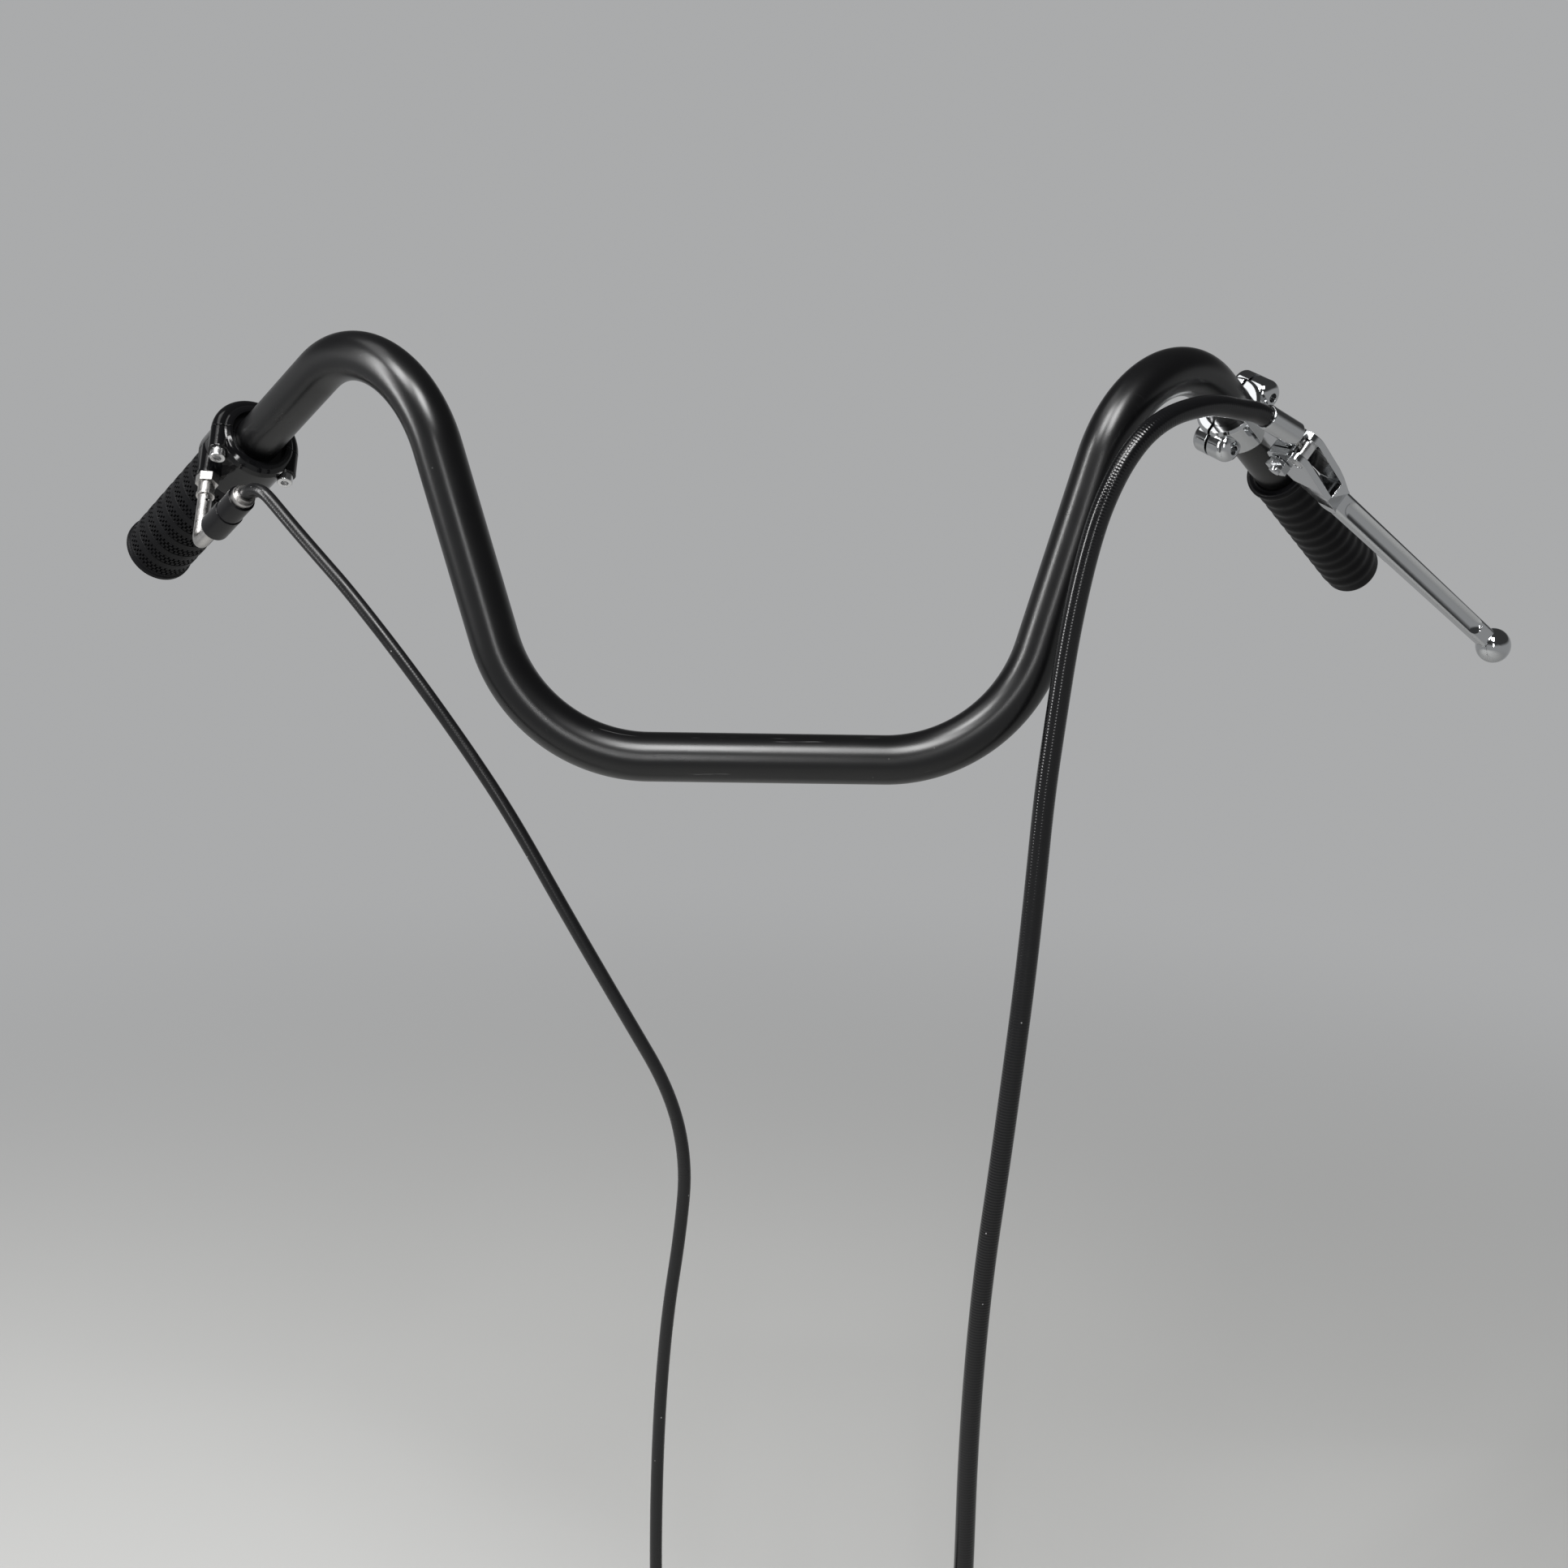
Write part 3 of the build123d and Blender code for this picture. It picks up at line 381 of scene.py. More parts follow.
# %% [markdown]
# Dull plated steel
#
# The elbow, its nut and the ferrules are zinc plated: grey, soft in their shine, and cloudy where fingers and
# weather have been. The socket screws are the same idea, a little brighter. Cable nipples are plain brass.

# %% Plated steel, screws and brass
BRUSHED_ROUGHNESS = 0.08


def dull_metal(name, colour, stain, low, high):
    finish, tree, shader = open_finish(name, colour, (low + high) / 2, 1.0)
    cloud = effect(tree, CLOUDS, "Value", Scale=140.0, Low=0.0, High=0.7)
    feed(tree, shader.inputs["Base Color"], blend_colours(tree, cloud, colour, stain))
    lines = effect(tree, SCRATCHES, "Mask", Length=60.0, Fineness=2400.0, Turn=0.9, Cover=0.62)
    rough = effect(tree, CLOUDS, "Value", Scale=220.0, Low=low, High=high)
    brushed = sums(tree, "MULTIPLY", lines, BRUSHED_ROUGHNESS)
    feed(tree, shader.inputs["Roughness"], sums(tree, "ADD", rough, brushed))
    crystals = effect(tree, GRAIN, "Height", Scale=1300.0, Detail=2.0)
    tilt(tree, shader, crystals, strength=0.10, depth=0.0003, rounded=0.0004)
    return finish


PLATED_STEEL = dull_metal("plated_steel", (0.54, 0.53, 0.52), (0.34, 0.33, 0.32), 0.22, 0.36)
SCREW_STEEL = dull_metal("screw_steel", (0.72, 0.72, 0.72), (0.42, 0.42, 0.43), 0.16, 0.28)
NIPPLE_BRASS = dull_metal("nipple_brass", (0.62, 0.46, 0.21), (0.40, 0.28, 0.12), 0.24, 0.40)
print("finishes:", PLATED_STEEL.name, SCREW_STEEL.name, NIPPLE_BRASS.name)

# %% [markdown]
# Stranded wire
#
# The bare inner wires are twisted strands. A wave running slantwise across the wire tilts the surface in
# narrow ridges, which reads as strands without modelling each one. The same wave paints shade into the
# grooves between strands and a lighter painted highlight onto the ridges.

# %% Wire
STRAND_SLANT = (0.6, 0.5, 0.3)
WIRE_GROOVE_SHADE = (0.22, 0.22, 0.21)
WIRE_RIDGE_HIGHLIGHT = (0.60, 0.60, 0.59)


def wire_steel():
    finish, tree, shader = open_finish("wire_steel", (0.55, 0.55, 0.54), 0.32, 1.0)
    where = place(tree, "ShaderNodeTexCoord").outputs["Object"]
    slanted = place(tree, "ShaderNodeMapping", {"Vector": where, "Rotation": STRAND_SLANT})
    strands = place(tree, "ShaderNodeTexWave", {"Vector": slanted.outputs[0], "Scale": 420.0},
                    bands_direction="DIAGONAL")
    # Base colour from the strand wave: painted shade in the grooves, painted highlight on the ridges.
    feed(tree, shader.inputs["Base Color"],
         blend_colours(tree, strands.outputs["Fac"], WIRE_GROOVE_SHADE, WIRE_RIDGE_HIGHLIGHT))
    feed(tree, shader.inputs["Roughness"], effect(tree, CLOUDS, "Value", Scale=300.0, Low=0.26, High=0.42))
    tilt(tree, shader, strands.outputs["Fac"], strength=0.5, depth=0.0003)
    return finish


WIRE_STEEL = wire_steel()
print("finish:", WIRE_STEEL.name)

# %% [markdown]
# Rubber and plastic
#
# Grip rubber is matt and faintly grey where hands have rubbed it. The boot is smoother and a little shinier.
# The hidden sleeve and the strap on the coil are moulded plastic. All four share one recipe with their own
# values.

# %% Rubber and plastic
DUST_SHARE = 0.5


def moulded(name, colour, rubbed, low, high, grain, depth, shine=0.10):
    finish, tree, shader = open_finish(name, colour, (low + high) / 2)
    shader.inputs["Specular IOR Level"].default_value = shine
    cloud = effect(tree, CLOUDS, "Value", Scale=45.0, Low=0.0, High=0.8)
    specks = effect(tree, SPECKS, "Mask", Scale=700.0, Size=0.13, Share=0.08)
    dust = sums(tree, "MULTIPLY", specks, DUST_SHARE)
    feed(tree, shader.inputs["Base Color"],
         blend_colours(tree, sums(tree, "MAXIMUM", cloud, dust), colour, rubbed))
    feed(tree, shader.inputs["Roughness"], effect(tree, CLOUDS, "Value", Scale=90.0, Low=low, High=high))
    texture = effect(tree, GRAIN, "Height", Scale=grain, Detail=3.0)
    tilt(tree, shader, texture, strength=0.20, depth=depth, rounded=0.0004)
    return finish


GRIP_RUBBER = moulded("grip_rubber", (0.002, 0.002, 0.0024), (0.005, 0.005, 0.006), 0.36, 0.52,
                      grain=1700.0, depth=0.0003)
BOOT_RUBBER = moulded("boot_rubber", (0.0025, 0.0025, 0.003), (0.006, 0.006, 0.007), 0.18, 0.28,
                      grain=1100.0, depth=0.0002, shine=0.25)
SLEEVE_PLASTIC = moulded("sleeve_plastic", (0.020, 0.020, 0.021), (0.030, 0.030, 0.031), 0.38, 0.50,
                         grain=900.0, depth=0.0002)
TIE_PLASTIC = moulded("tie_plastic", (0.018, 0.018, 0.019), (0.032, 0.032, 0.033), 0.30, 0.45,
                      grain=1300.0, depth=0.0002)
print("finishes:", [finish.name for finish in (GRIP_RUBBER, BOOT_RUBBER, SLEEVE_PLASTIC, TIE_PLASTIC)])

# %% [markdown]
# Cable jackets
#
# Both cables have black jackets. The throttle's is almost smooth, with pale nicks. The clutch's is thicker,
# shinier and finely ribbed across. The ribs need to follow the cable, so the tubes grown below carry an
# attribute, `along`, that counts metres from the start, and a sine of it tilts the surface.

# %% Jackets
RIB_PITCH = 0.0016
RIB_DEPTH = 0.0003
BARE_NICK = (0.30, 0.30, 0.30)
BARE_NICK_SHARE = 0.8


def jacket(name, colour, low, high, nicks, rib_strength):
    finish, tree, shader = open_finish(name, colour, (low + high) / 2)
    shader.inputs["Specular IOR Level"].default_value = 0.38
    specks = effect(tree, SPECKS, "Mask", Scale=300.0, Size=0.13, Share=nicks)
    bare = sums(tree, "MULTIPLY", specks, BARE_NICK_SHARE)
    feed(tree, shader.inputs["Base Color"], blend_colours(tree, bare, colour, BARE_NICK))
    feed(tree, shader.inputs["Roughness"], effect(tree, CLOUDS, "Value", Scale=80.0, Low=low, High=high))
    along = place(tree, "ShaderNodeAttribute", attribute_name="along").outputs["Fac"]
    rib = sums(tree, "SINE", sums(tree, "MULTIPLY", along, 2.0 * math.pi / RIB_PITCH))
    tilt(tree, shader, rib, rib_strength, RIB_DEPTH)
    return finish


THROTTLE_JACKET = jacket("throttle_jacket", (0.006, 0.006, 0.0065), 0.24, 0.36,
                         nicks=0.05, rib_strength=0.03)
CLUTCH_JACKET = jacket("clutch_jacket", (0.004, 0.004, 0.0045), 0.14, 0.22,
                       nicks=0.008, rib_strength=0.14)
print("finishes:", THROTTLE_JACKET.name, CLUTCH_JACKET.name)

# %% [markdown]
# The two cables
#
# A control cable is a springy jacket of fixed length. Each route below is a list of points, in metres, that
# the real cable passes near: out of its ferrule or boss, over a bend, and down past the middle of the bar.
# They become the control points of one smooth NURBS line. Below the view the throttle cable just hangs, and
# the clutch cable's spare length is wound into two turns, whose points belong to the same line.

# %% Cable routes
THROTTLE_ROUTE = [
    (-0.27302, 0.06655, 0.11928), (-0.26934, 0.06253, 0.1230), (-0.2659, 0.0592, 0.1244),
    (-0.2621, 0.0559, 0.1242), (-0.2584, 0.0530, 0.1225), (-0.2519, 0.0486, 0.1161),
    (-0.2415, 0.0415, 0.1058), (-0.2285, 0.0328, 0.0935), (-0.2124, 0.0220, 0.0784),
    (-0.1823, 0.0050, 0.0448), (-0.1527, -0.0090, 0.0074), (-0.1278, -0.0200, -0.0273),
    (-0.0993, -0.0270, -0.0775), (-0.0703, -0.0290, -0.1288), (-0.0467, -0.0280, -0.1712),
    (-0.0379, -0.0260, -0.2115), (-0.0409, -0.0240, -0.2531), (-0.0473, -0.0220, -0.3012),
    (-0.0512, -0.0200, -0.3601), (-0.0525, -0.0205, -0.4243), (-0.0519, -0.0200, -0.4803),
    (-0.0510, -0.0205, -0.5300),
]
CLUTCH_ROUTE = [
    (0.26207, 0.06163, 0.16871), (0.25224, 0.05519, 0.17415), (0.2415, 0.0470, 0.1759),
    (0.2262, 0.0350, 0.1796), (0.2120, 0.0240, 0.1790), (0.1978, 0.0140, 0.1755),
    (0.1852, 0.0060, 0.1674), (0.1748, 0.0000, 0.1547), (0.1669, -0.0040, 0.1394),
    (0.1609, -0.0070, 0.1232), (0.1549, -0.0100, 0.0983), (0.1493, -0.0130, 0.0659),
    (0.1448, -0.0160, 0.0270), (0.1407, -0.0180, -0.0127), (0.1382, -0.0200, -0.0590),
    (0.1352, -0.0220, -0.1069), (0.1307, -0.0240, -0.1598), (0.1260, -0.0245, -0.2145),
    (0.1207, -0.0240, -0.2705), (0.1176, -0.0245, -0.3277), (0.1165, -0.0240, -0.3863),
    (0.1170, -0.0245, -0.4462), (0.1170, -0.0240, -0.4900),
]
THROTTLE_CABLE_D = 0.0068
CLUTCH_CABLE_D = 0.0110
COIL_CENTRE = (0.0610, -0.530)
COIL_RADIUS = 0.0560
COIL_DEPTHS = (-0.0240, -0.0128)
COIL_TURNS = 2
POINTS_A_TURN = 16


def coil_points():
    points = []
    outset = COIL_RADIUS / math.cos(math.pi / POINTS_A_TURN) ** 2
    for step in range(COIL_TURNS * POINTS_A_TURN + 1):
        turn = 2.0 * math.pi * step / POINTS_A_TURN
        share = step / (COIL_TURNS * POINTS_A_TURN)
        depth = COIL_DEPTHS[0] + (COIL_DEPTHS[1] - COIL_DEPTHS[0]) * share
        points.append((COIL_CENTRE[0] + outset * math.cos(turn), depth,
                       COIL_CENTRE[1] - outset * math.sin(turn)))
    return points


CLUTCH_TAIL = [(0.1170, -0.0128, -0.5480), (0.1170, -0.0128, -0.5680), (0.1170, -0.0128, -0.5885)]
print("route points:", len(THROTTLE_ROUTE), "and", len(CLUTCH_ROUTE + coil_points() + CLUTCH_TAIL))

# %% [markdown]
# From route to tube
#
# Blender gives the smooth line of a curve that has no thickness as a row of points. The tube and its ribs
# follow that row, so the smooth line and the tube that is seen are the same.

# %% Cable tubes
CABLE_SIDES = 24
LINE_STEPS = 8


def smooth_line(name, route):
    curve = bpy.data.curves.new(name + "_line", "CURVE")
    curve.dimensions = "3D"
    spline = curve.splines.new("NURBS")
    spline.points.add(len(route) - 1)
    for point, place_m in zip(spline.points, route):
        point.co = (*place_m, 1.0)
    spline.use_endpoint_u = True
    spline.order_u = 3
    spline.resolution_u = LINE_STEPS
    holder = add_object(name + "_line", curve)
    line = plain_mesh(holder)
    bpy.data.objects.remove(holder)
    return line, [tuple(v.co) for v in line.vertices]


def cable_tree():
    tree, given, ids = open_tree(
        "cable_tube", [("Radius", "float"), ("Sides", "int"), ("Jacket", "material")])
    line = place(tree, "GeometryNodeMeshToCurve", {"Mesh": given["Geometry"]}).outputs[0]
    count = place(tree, "GeometryNodeSplineParameter").outputs["Length"]
    marked = place(tree, "GeometryNodeStoreNamedAttribute",
                   {"Geometry": line, "Name": "along", "Value": count}, data_type="FLOAT", domain="POINT")
    close_tree(tree, sweep(tree, marked.outputs[0], given), given["Jacket"])
    return tree, ids


def length_of(points):
    return sum((Vector(b) - Vector(a)).length for a, b in zip(points, points[1:]))


CABLE_TREE, CABLE_IDS = cable_tree()


def cable(name, route, diameter, finish):
    line, path = smooth_line(name, route)
    piece = grow(name, CABLE_TREE, CABLE_IDS,
                 {"Radius": diameter / 2, "Sides": CABLE_SIDES, "Jacket": finish}, line)
    print(name, "length", round(length_of(path), 4), "m,", len(piece.data.polygons), "faces")
    return piece, path


throttle_run, throttle_path = cable("throttle_cable_run", THROTTLE_ROUTE, THROTTLE_CABLE_D, THROTTLE_JACKET)
clutch_run, clutch_path = cable("clutch_cable_run", CLUTCH_ROUTE + coil_points() + CLUTCH_TAIL,
                                CLUTCH_CABLE_D, CLUTCH_JACKET)
for piece, body, solids, jacket_slot in (
        (throttle_run, "bar", ["throttle_cable"], "throttle_jacket"),
        (clutch_run, "bar", ["clutch_cable", "clutch_cable_coil", "clutch_cable_tail"], "clutch_jacket")):
    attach(piece, body)
    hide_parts(*solids)

# %% [markdown]
# The bent bar
#
# The bar is one tube with four bends, and its left half mirrors its right half. Its four corners and two ends
# carry the radius of their bend, in metres, as an attribute. Geometry Nodes rounds each corner by that radius
# and sweeps a circle along, which gives the long clean highlights that a bent tube shows.

# %% Bar
BAR_RADIUS = 0.0127
BAR_SIDES = 72
BEND_STEPS = 40
LOW_CORNER = (0.12079, 0.0, 0.0)
LOW_BEND = 0.082
TOP_CORNER = (0.19115, 0.04419, 0.22732)
TOP_BEND = 0.062
LEG_END = (0.35079, 0.2184, 0.06613)


def mirrored(spot):
    return (-spot[0], spot[1], spot[2])


RIGHT_HALF = [(LOW_CORNER, LOW_BEND), (TOP_CORNER, TOP_BEND), (LEG_END, 0.0)]
LEFT_HALF = [(mirrored(spot), bend) for spot, bend in reversed(RIGHT_HALF)]
BAR_CORNERS = LEFT_HALF + RIGHT_HALF


def corner_line(name, corners):
    mesh = bpy.data.meshes.new(name)
    mesh.from_pydata([spot for spot, bend in corners], [(i, i + 1) for i in range(len(corners) - 1)], [])
    bends = mesh.attributes.new("bend", "FLOAT", "POINT")
    for held, (spot, bend) in zip(bends.data, corners):
        held.value = bend
    return mesh


def bar_tree():
    tree, given, ids = open_tree(
        "bent_bar", [("Radius", "float"), ("Sides", "int"), ("Steps", "int"), ("Paint", "material")])
    line = place(tree, "GeometryNodeMeshToCurve", {"Mesh": given["Geometry"]}).outputs[0]
    bend = place(tree, "GeometryNodeInputNamedAttribute", {"Name": "bend"}, data_type="FLOAT").outputs[0]
    rounded = place(tree, "GeometryNodeFilletCurve", {"Curve": line, "Count": given["Steps"], "Radius": bend},
                    mode="POLY").outputs[0]
    close_tree(tree, sweep(tree, rounded, given), given["Paint"])
    return tree, ids


BAR_TREE, BAR_IDS = bar_tree()
bent_bar = grow("bent_bar", BAR_TREE, BAR_IDS,
                {"Radius": BAR_RADIUS, "Sides": BAR_SIDES, "Steps": BEND_STEPS, "Paint": BAR_PAINT},
                corner_line("bar_corners", BAR_CORNERS))
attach(bent_bar, "bar")
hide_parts("handlebar_tube")
print("bar faces:", len(bent_bar.data.polygons))

# %% [markdown]
# The clutch grip
#
# The clutch grip is a soft rubber barrel with low rounded rings, a domed end and a dished flange. It is
# turned from a profile of radius against height, ring by ring round an upright axis, and then carried to the
# right leg of the bar.

# %% Clutch grip
GRIP_RADIUS = 0.0162
GRIP_RINGS = 11
GRIP_RING_PITCH = 0.0095
GRIP_RING_RISE = 0.0006
GRIP_RING_START = 0.0045
GRIP_RING_STEPS = 12
GRIP_SIDES = 72
GRIP_BORE = 0.0128
BORE_RING = 0.1000
DOME = [(0.0, -0.0040), (0.0060, -0.0040), (0.0100, -0.00385)]
EDGE_CENTRE = (0.0117, 0.0006)
EDGE_RADIUS = 0.0045
EDGE_FIRST_DEG = 80
EDGE_STEP_DEG = 10
FLANGE = [
    (GRIP_RADIUS, 0.1120), (0.0165, 0.1130), (0.0172, 0.1137), (0.0178, 0.1144), (0.0180, 0.1152),
    (0.0180, 0.1166), (0.0178, 0.1174), (0.0173, 0.1179), (0.0166, 0.1180), (0.0158, 0.1177),
    (0.0148, 0.1171), (0.0138, 0.1168), (GRIP_BORE, 0.1168),
]


def clutch_grip_profile():
    rows = list(DOME)
    for degrees in range(EDGE_FIRST_DEG, -1, -EDGE_STEP_DEG):
        turn = math.radians(degrees)
        rows.append((EDGE_CENTRE[0] + EDGE_RADIUS * math.cos(turn),
                     EDGE_CENTRE[1] - EDGE_RADIUS * math.sin(turn)))
    for step in range(GRIP_RINGS * GRIP_RING_STEPS + 1):
        rings = step / GRIP_RING_STEPS
        wave = 0.5 - 0.5 * math.cos(2.0 * math.pi * rings)
        rows.append((GRIP_RADIUS + GRIP_RING_RISE * wave, GRIP_RING_START + GRIP_RING_PITCH * rings))
    return rows + FLANGE + [(GRIP_BORE, BORE_RING), (GRIP_BORE, 0.0), (0.0, 0.0)]


def turned(name, profile, sides, finish):
    shape = bmesh.new()
    rings = []
    for radius, height in profile:
        if radius == 0.0:
            rings.append([shape.verts.new((0.0, 0.0, height))] * sides)
        else:
            rings.append([shape.verts.new((radius * math.cos(2.0 * math.pi * i / sides),
                                           radius * math.sin(2.0 * math.pi * i / sides), height))
                          for i in range(sides)])
    for low, high in zip(rings, rings[1:]):
        for i in range(sides):
            around = [low[i], low[i - 1], high[i - 1], high[i]]
            corners = [v for k, v in enumerate(around) if v not in around[:k]]
            shape.faces.new(corners).smooth = True
    bmesh.ops.recalc_face_normals(shape, faces=shape.faces)
    mesh = bpy.data.meshes.new(name)
    shape.to_mesh(mesh)
    shape.free()
    mesh.materials.append(finish)
    return add_object(name, mesh)


def onto_leg(end, across, inward):
    turn = Matrix((across, inward.cross(across), inward)).transposed().to_4x4()
    return Matrix.Translation(end) @ turn


RIGHT_LEG_ACROSS = Vector((0.5917, -0.7682, -0.2443))
RIGHT_LEG_INWARD = Vector((-0.5581, -0.6091, 0.5635))
clutch_rubber = turned("clutch_grip_rubber", clutch_grip_profile(), GRIP_SIDES, GRIP_RUBBER)
clutch_rubber.data.transform(onto_leg(LEG_END, RIGHT_LEG_ACROSS, RIGHT_LEG_INWARD))
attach(clutch_rubber, "bar")
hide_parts("clutch_grip")
print("clutch grip faces:", len(clutch_rubber.data.polygons))

# %% [markdown]
# Waffle pips on the throttle grip
#
# The throttle grip has eight shallow bands, and each band is filled with three rows of small square pips, the
# middle row shifted by half a step. One pip is a four-sided stub with a smaller top. Its number gives its
# band, row and place round the grip, and those give its position on a cylinder.

# %% Pips
BANDS = 8
BAND_START = 0.0015
BAND_PITCH = 0.01225
BAND_WIDTH = 0.0076
BAND_RADIUS = 0.0180
PIP_ROWS = 3
PIPS_ROUND = 40
PIP_HEIGHT = 0.0011
PIP_SIZE = 0.0024
PIP_TOP = 0.55
PIP_FOOT = 0.72
PIP_SINK = 0.0001


def pip_tree():
    tree, given, ids = open_tree("waffle_pips", [
        ("Bands", "int"), ("Rows", "int"), ("Round", "int"), ("Band start", "float"), ("Band pitch", "float"),
        ("Band width", "float"), ("Radius", "float"), ("Height", "float"), ("Size", "float"),
        ("Rubber", "material")])
    index = place(tree, "GeometryNodeInputIndex").outputs[0]
    in_row = sums(tree, "MODULO", index, given["Round"])
    row_number = sums(tree, "FLOOR", sums(tree, "DIVIDE", index, given["Round"]))
    row = sums(tree, "MODULO", row_number, given["Rows"])
    band = sums(tree, "FLOOR", sums(tree, "DIVIDE", row_number, given["Rows"]))
    shifted = sums(tree, "ADD", in_row, sums(tree, "MULTIPLY", sums(tree, "MODULO", row, 2.0), 0.5))
    angle = sums(tree, "DIVIDE", sums(tree, "MULTIPLY", shifted, 2.0 * math.pi), given["Round"])
    row_share = sums(tree, "DIVIDE", sums(tree, "ADD", row, 0.5), given["Rows"])
    in_band = sums(tree, "MULTIPLY", row_share, given["Band width"])
    band_at = sums(tree, "ADD", given["Band start"], sums(tree, "MULTIPLY", band, given["Band pitch"]))
    place_on = place(tree, "ShaderNodeCombineXYZ", {
        "X": sums(tree, "MULTIPLY", given["Radius"], sums(tree, "COSINE", angle)),
        "Y": sums(tree, "MULTIPLY", given["Radius"], sums(tree, "SINE", angle)),
        "Z": sums(tree, "ADD", band_at, in_band)})
    total = sums(tree, "MULTIPLY", sums(tree, "MULTIPLY", given["Bands"], given["Rows"]), given["Round"])
    dots = place(tree, "GeometryNodePoints", {"Count": total, "Position": place_on.outputs[0]}).outputs[0]
    stub = place(tree, "GeometryNodeMeshCone", {
        "Vertices": 4, "Side Segments": 1, "Radius Top": sums(tree, "MULTIPLY", given["Size"], PIP_TOP),
        "Radius Bottom": sums(tree, "MULTIPLY", given["Size"], PIP_FOOT), "Depth": given["Height"]},
        fill_type="NGON").outputs[0]
    square = place(tree, "GeometryNodeTransform", {
        "Geometry": stub, "Rotation": (0.0, 0.0, math.pi / 4)}).outputs[0]
    lying = place(tree, "ShaderNodeCombineXYZ", {"Y": math.pi / 2, "Z": angle})
    pips = place(tree, "GeometryNodeInstanceOnPoints", {
        "Points": dots, "Instance": square, "Rotation": lying.outputs[0]}).outputs[0]
    close_tree(tree, pips, given["Rubber"])
    return tree, ids


PIP_TREE, PIP_IDS = pip_tree()
throttle_pips = grow("throttle_grip_pips", PIP_TREE, PIP_IDS, {
    "Bands": BANDS, "Rows": PIP_ROWS, "Round": PIPS_ROUND, "Band start": BAND_START, "Band pitch": BAND_PITCH,
    "Band width": BAND_WIDTH, "Radius": BAND_RADIUS - PIP_SINK, "Height": PIP_HEIGHT, "Size": PIP_SIZE,
    "Rubber": GRIP_RUBBER})

# %% [markdown]
# The pips were grown round an upright axis at the origin. The grip's own axes, measured on the solids, carry
# them to the left leg of the bar, and the move is written into the mesh.

# %% Pips to their leg
LEFT_LEG_ACROSS = Vector((-0.0042, -0.6812, -0.7321))
LEFT_LEG_INWARD = Vector((0.5581, -0.6091, 0.5635))
throttle_pips.data.transform(onto_leg(mirrored(LEG_END), LEFT_LEG_ACROSS, LEFT_LEG_INWARD))
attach(throttle_pips, "throttle")
print("pips:", BANDS * PIP_ROWS * PIPS_ROUND, "faces:", len(throttle_pips.data.polygons))

# %% [markdown]
# Dressing the solids
#
# Every solid keeps its shape and gets its finish in its own material slots. The six that have a smoother
# piece above are hidden, and they are dressed all the same.

# %% Finishes on the solids
WORN_BY = {
    "handlebar_tube": BAR_PAINT,
    "clutch_grip": GRIP_RUBBER,
    "throttle_grip": GRIP_RUBBER,
    "throttle_sleeve": SLEEVE_PLASTIC,
    "throttle_housing_upper": HOUSING_PAINT,
    "throttle_housing_lower": HOUSING_PAINT,
    "throttle_housing_screws": SCREW_STEEL,
    "perch_clamp_screws": SCREW_STEEL,
    "throttle_elbow_fitting": PLATED_STEEL,
    "throttle_elbow_nut": PLATED_STEEL,
    "throttle_elbow": PLATED_STEEL,
    "throttle_cable_ferrule": PLATED_STEEL,
    "throttle_end_ferrule": PLATED_STEEL,
    "clutch_end_ferrule": PLATED_STEEL,
    "throttle_cable_boot": BOOT_RUBBER,
    "clutch_perch": CHROME,
    "perch_clamp": CHROME,
    "clutch_lever": CHROME,
    "lever_pivot_bolt": CHROME,
    "lever_pivot_nut": CHROME,
    "throttle_drum_nipple": NIPPLE_BRASS,
    "lever_cable_barrel": SCREW_STEEL,
    "throttle_inner_wire": WIRE_STEEL,
    "throttle_end_wire": WIRE_STEEL,
    "clutch_inner_wire": WIRE_STEEL,
    "clutch_end_wire": WIRE_STEEL,
    "throttle_cable": THROTTLE_JACKET,
    "clutch_cable": CLUTCH_JACKET,
    "clutch_cable_coil": CLUTCH_JACKET,
    "clutch_cable_tail": CLUTCH_JACKET,
    "clutch_coil_tie": TIE_PLASTIC,
}
for name, finish in WORN_BY.items():
    for held in nodes[name].material_slots:
        held.material = finish
print("dressed:", len(WORN_BY), "of", len(nodes), "bare:", sorted(set(nodes) - set(WORN_BY)))

# %% [markdown]
# Studio floor
#
# The part hangs over a wide pale floor. Near the part the floor is plain matt paint that takes its shadow.
# Far away it fades into the tone of the backdrop, so that the floor has no visible end from any side. Light
# Path limits that fade to what the camera, gloss and glass see, so it adds no light to matt surfaces.

# %% Floor
FLOOR_Z = -0.68
FLOOR_HALF = 20.0
FLOOR_CORNERS = ((-1, -1), (1, -1), (1, 1), (-1, 1))
FLOOR_COLOUR = (0.50, 0.50, 0.49)
FADE_FROM = 0.8
FADE_TO = 2.1
BACKDROP = 0.41
BACKDROP_TINT = (0.98, 0.99, 1.0, 1.0)


def seen_rays(tree):
    rays = place(tree, "ShaderNodeLightPath").outputs
    reflected = sums(tree, "MAXIMUM", rays["Is Glossy Ray"], rays["Is Transmission Ray"])
    return sums(tree, "MAXIMUM", rays["Is Camera Ray"], reflected)


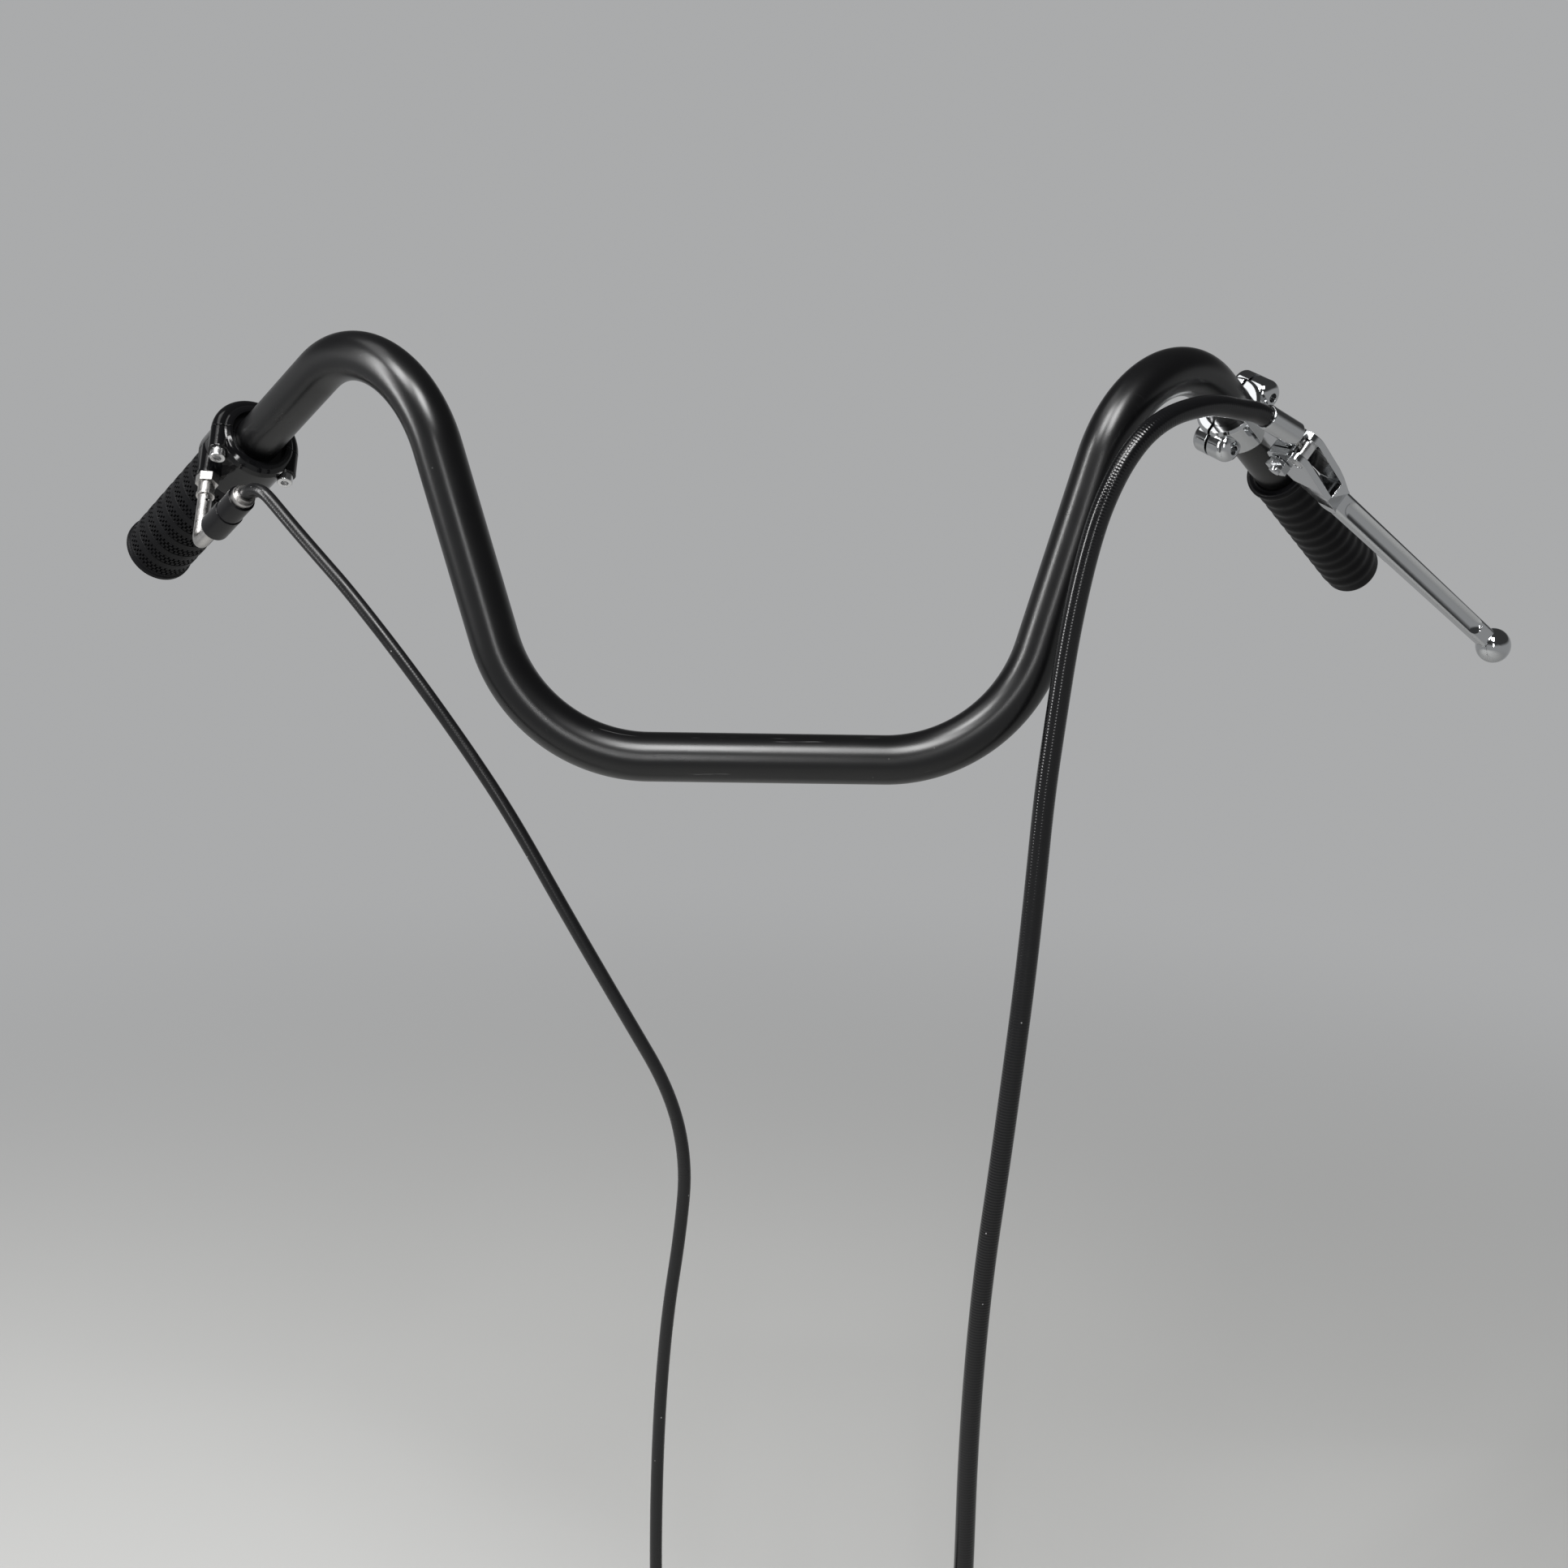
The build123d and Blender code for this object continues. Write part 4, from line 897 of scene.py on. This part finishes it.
def pale_floor():
    finish, tree, shader = open_finish("pale_floor", FLOOR_COLOUR, 0.9)
    feed(tree, shader.inputs["Roughness"], effect(tree, CLOUDS, "Value", Scale=3.0, Low=0.85, High=0.95))
    where = place(tree, "ShaderNodeTexCoord").outputs["Object"]
    reach = place(tree, "ShaderNodeVectorMath", {0: where}, operation="LENGTH").outputs["Value"]
    fade = place(tree, "ShaderNodeMapRange", {"Value": reach, "From Min": FADE_FROM, "From Max": FADE_TO},
                 interpolation_type="SMOOTHSTEP").outputs[0]
    glow = place(tree, "ShaderNodeEmission", {"Color": BACKDROP_TINT, "Strength": BACKDROP})
    mixed = place(tree, "ShaderNodeMixShader", {0: sums(tree, "MULTIPLY", fade, seen_rays(tree)),
                                                1: shader.outputs[0], 2: glow.outputs[0]})
    feed(tree, tree.nodes["Material Output"].inputs["Surface"], mixed.outputs[0])
    finish.cycles.emission_sampling = "NONE"
    return finish


floor_mesh = bpy.data.meshes.new("studio_floor")
floor_mesh.from_pydata([(x * FLOOR_HALF, y * FLOOR_HALF, FLOOR_Z) for x, y in FLOOR_CORNERS],
                       [], [(0, 1, 2, 3)])
floor_mesh.materials.append(pale_floor())
studio_floor = add_object("studio_floor", floor_mesh)
print("floor:", 2 * FLOOR_HALF, "m wide at height", FLOOR_Z)

# %% [markdown]
# Lights
#
# Satin black shows little but the lamps that it mirrors, so the lamps are shaped for their reflections. Two
# soft panels high in front and to the left give the broad highlights on the bends. A large dim one, high at
# the left, is for the chrome, whose upper faces mirror it as a soft white. A tall strip at the left draws the
# line down the uprights, and a thin one low in front draws the second line beside it.

# %% Lamps
def panel(name, spot, aim, width, height, watts):
    lamp = bpy.data.lights.new(name, "AREA")
    lamp.shape = "RECTANGLE"
    lamp.size = width
    lamp.size_y = height
    lamp.energy = watts
    holder = add_object(name, lamp)
    holder.location = spot
    holder.rotation_euler = (Vector(aim) - Vector(spot)).to_track_quat("-Z", "Y").to_euler()
    holder.visible_camera = False
    print(name, "at", spot, "with", watts, "W")


AT_BENDS = (0.0, 0.02, 0.05)
AT_UPRIGHTS = (0.0, 0.0, 0.05)
AT_PERCH = (0.20, 0.05, 0.12)
panel("panel_front", (-0.10, -1.00, 1.56), AT_BENDS, width=0.52, height=0.76, watts=29.0)
panel("panel_left", (-0.78, -0.58, 1.62), AT_BENDS, width=0.52, height=0.66, watts=23.0)
panel("panel_high", (-0.85, 0.18, 1.62), AT_PERCH, width=0.95, height=0.65, watts=3.4)
panel("strip_left", (-1.70, -0.35, 0.65), AT_UPRIGHTS, width=0.20, height=1.40, watts=25.0)
panel("strip_front", (-0.15, -1.90, 0.46), AT_UPRIGHTS, width=0.14, height=0.80, watts=6.0)

# %% [markdown]
# Backdrop
#
# The world is the backdrop. What is seen of it, straight or mirrored, is pale at the horizon and darker
# overhead, which gives chrome its contrast. What lights the part is a dim and nearly even air, so that a
# colour looks about as it is written.

# %% Backdrop
AIR_LOW = 0.08
AIR_HIGH = 0.16
AIR_RISES = (0.05, 0.95)
OVERHEAD = 0.06
BACKDROP_DARKENS = (0.08, 0.30)


def studio_air():
    world = bpy.data.worlds.new("studio_air")
    world.use_nodes = True
    tree = world.node_tree
    sky = tree.nodes["Background"]
    way = place(tree, "ShaderNodeSeparateXYZ", {0: place(tree, "ShaderNodeTexCoord").outputs["Generated"]})
    air = place(tree, "ShaderNodeMapRange", {
        "Value": way.outputs["Z"], "From Min": AIR_RISES[0], "From Max": AIR_RISES[1],
        "To Min": AIR_LOW, "To Max": AIR_HIGH}).outputs[0]
    seen = place(tree, "ShaderNodeMapRange", {
        "Value": way.outputs["Z"], "From Min": BACKDROP_DARKENS[0], "From Max": BACKDROP_DARKENS[1],
        "To Min": BACKDROP, "To Max": OVERHEAD}).outputs[0]
    strength = place(tree, "ShaderNodeMix", {"Factor": seen_rays(tree), "A": air, "B": seen}).outputs[0]
    sky.inputs["Color"].default_value = BACKDROP_TINT
    feed(tree, sky.inputs["Strength"], strength)
    world.cycles.sampling_method = "NONE"
    return world


scene.world = studio_air()
scene.view_settings.view_transform = "Standard"
print("backdrop:", scene.world.name)
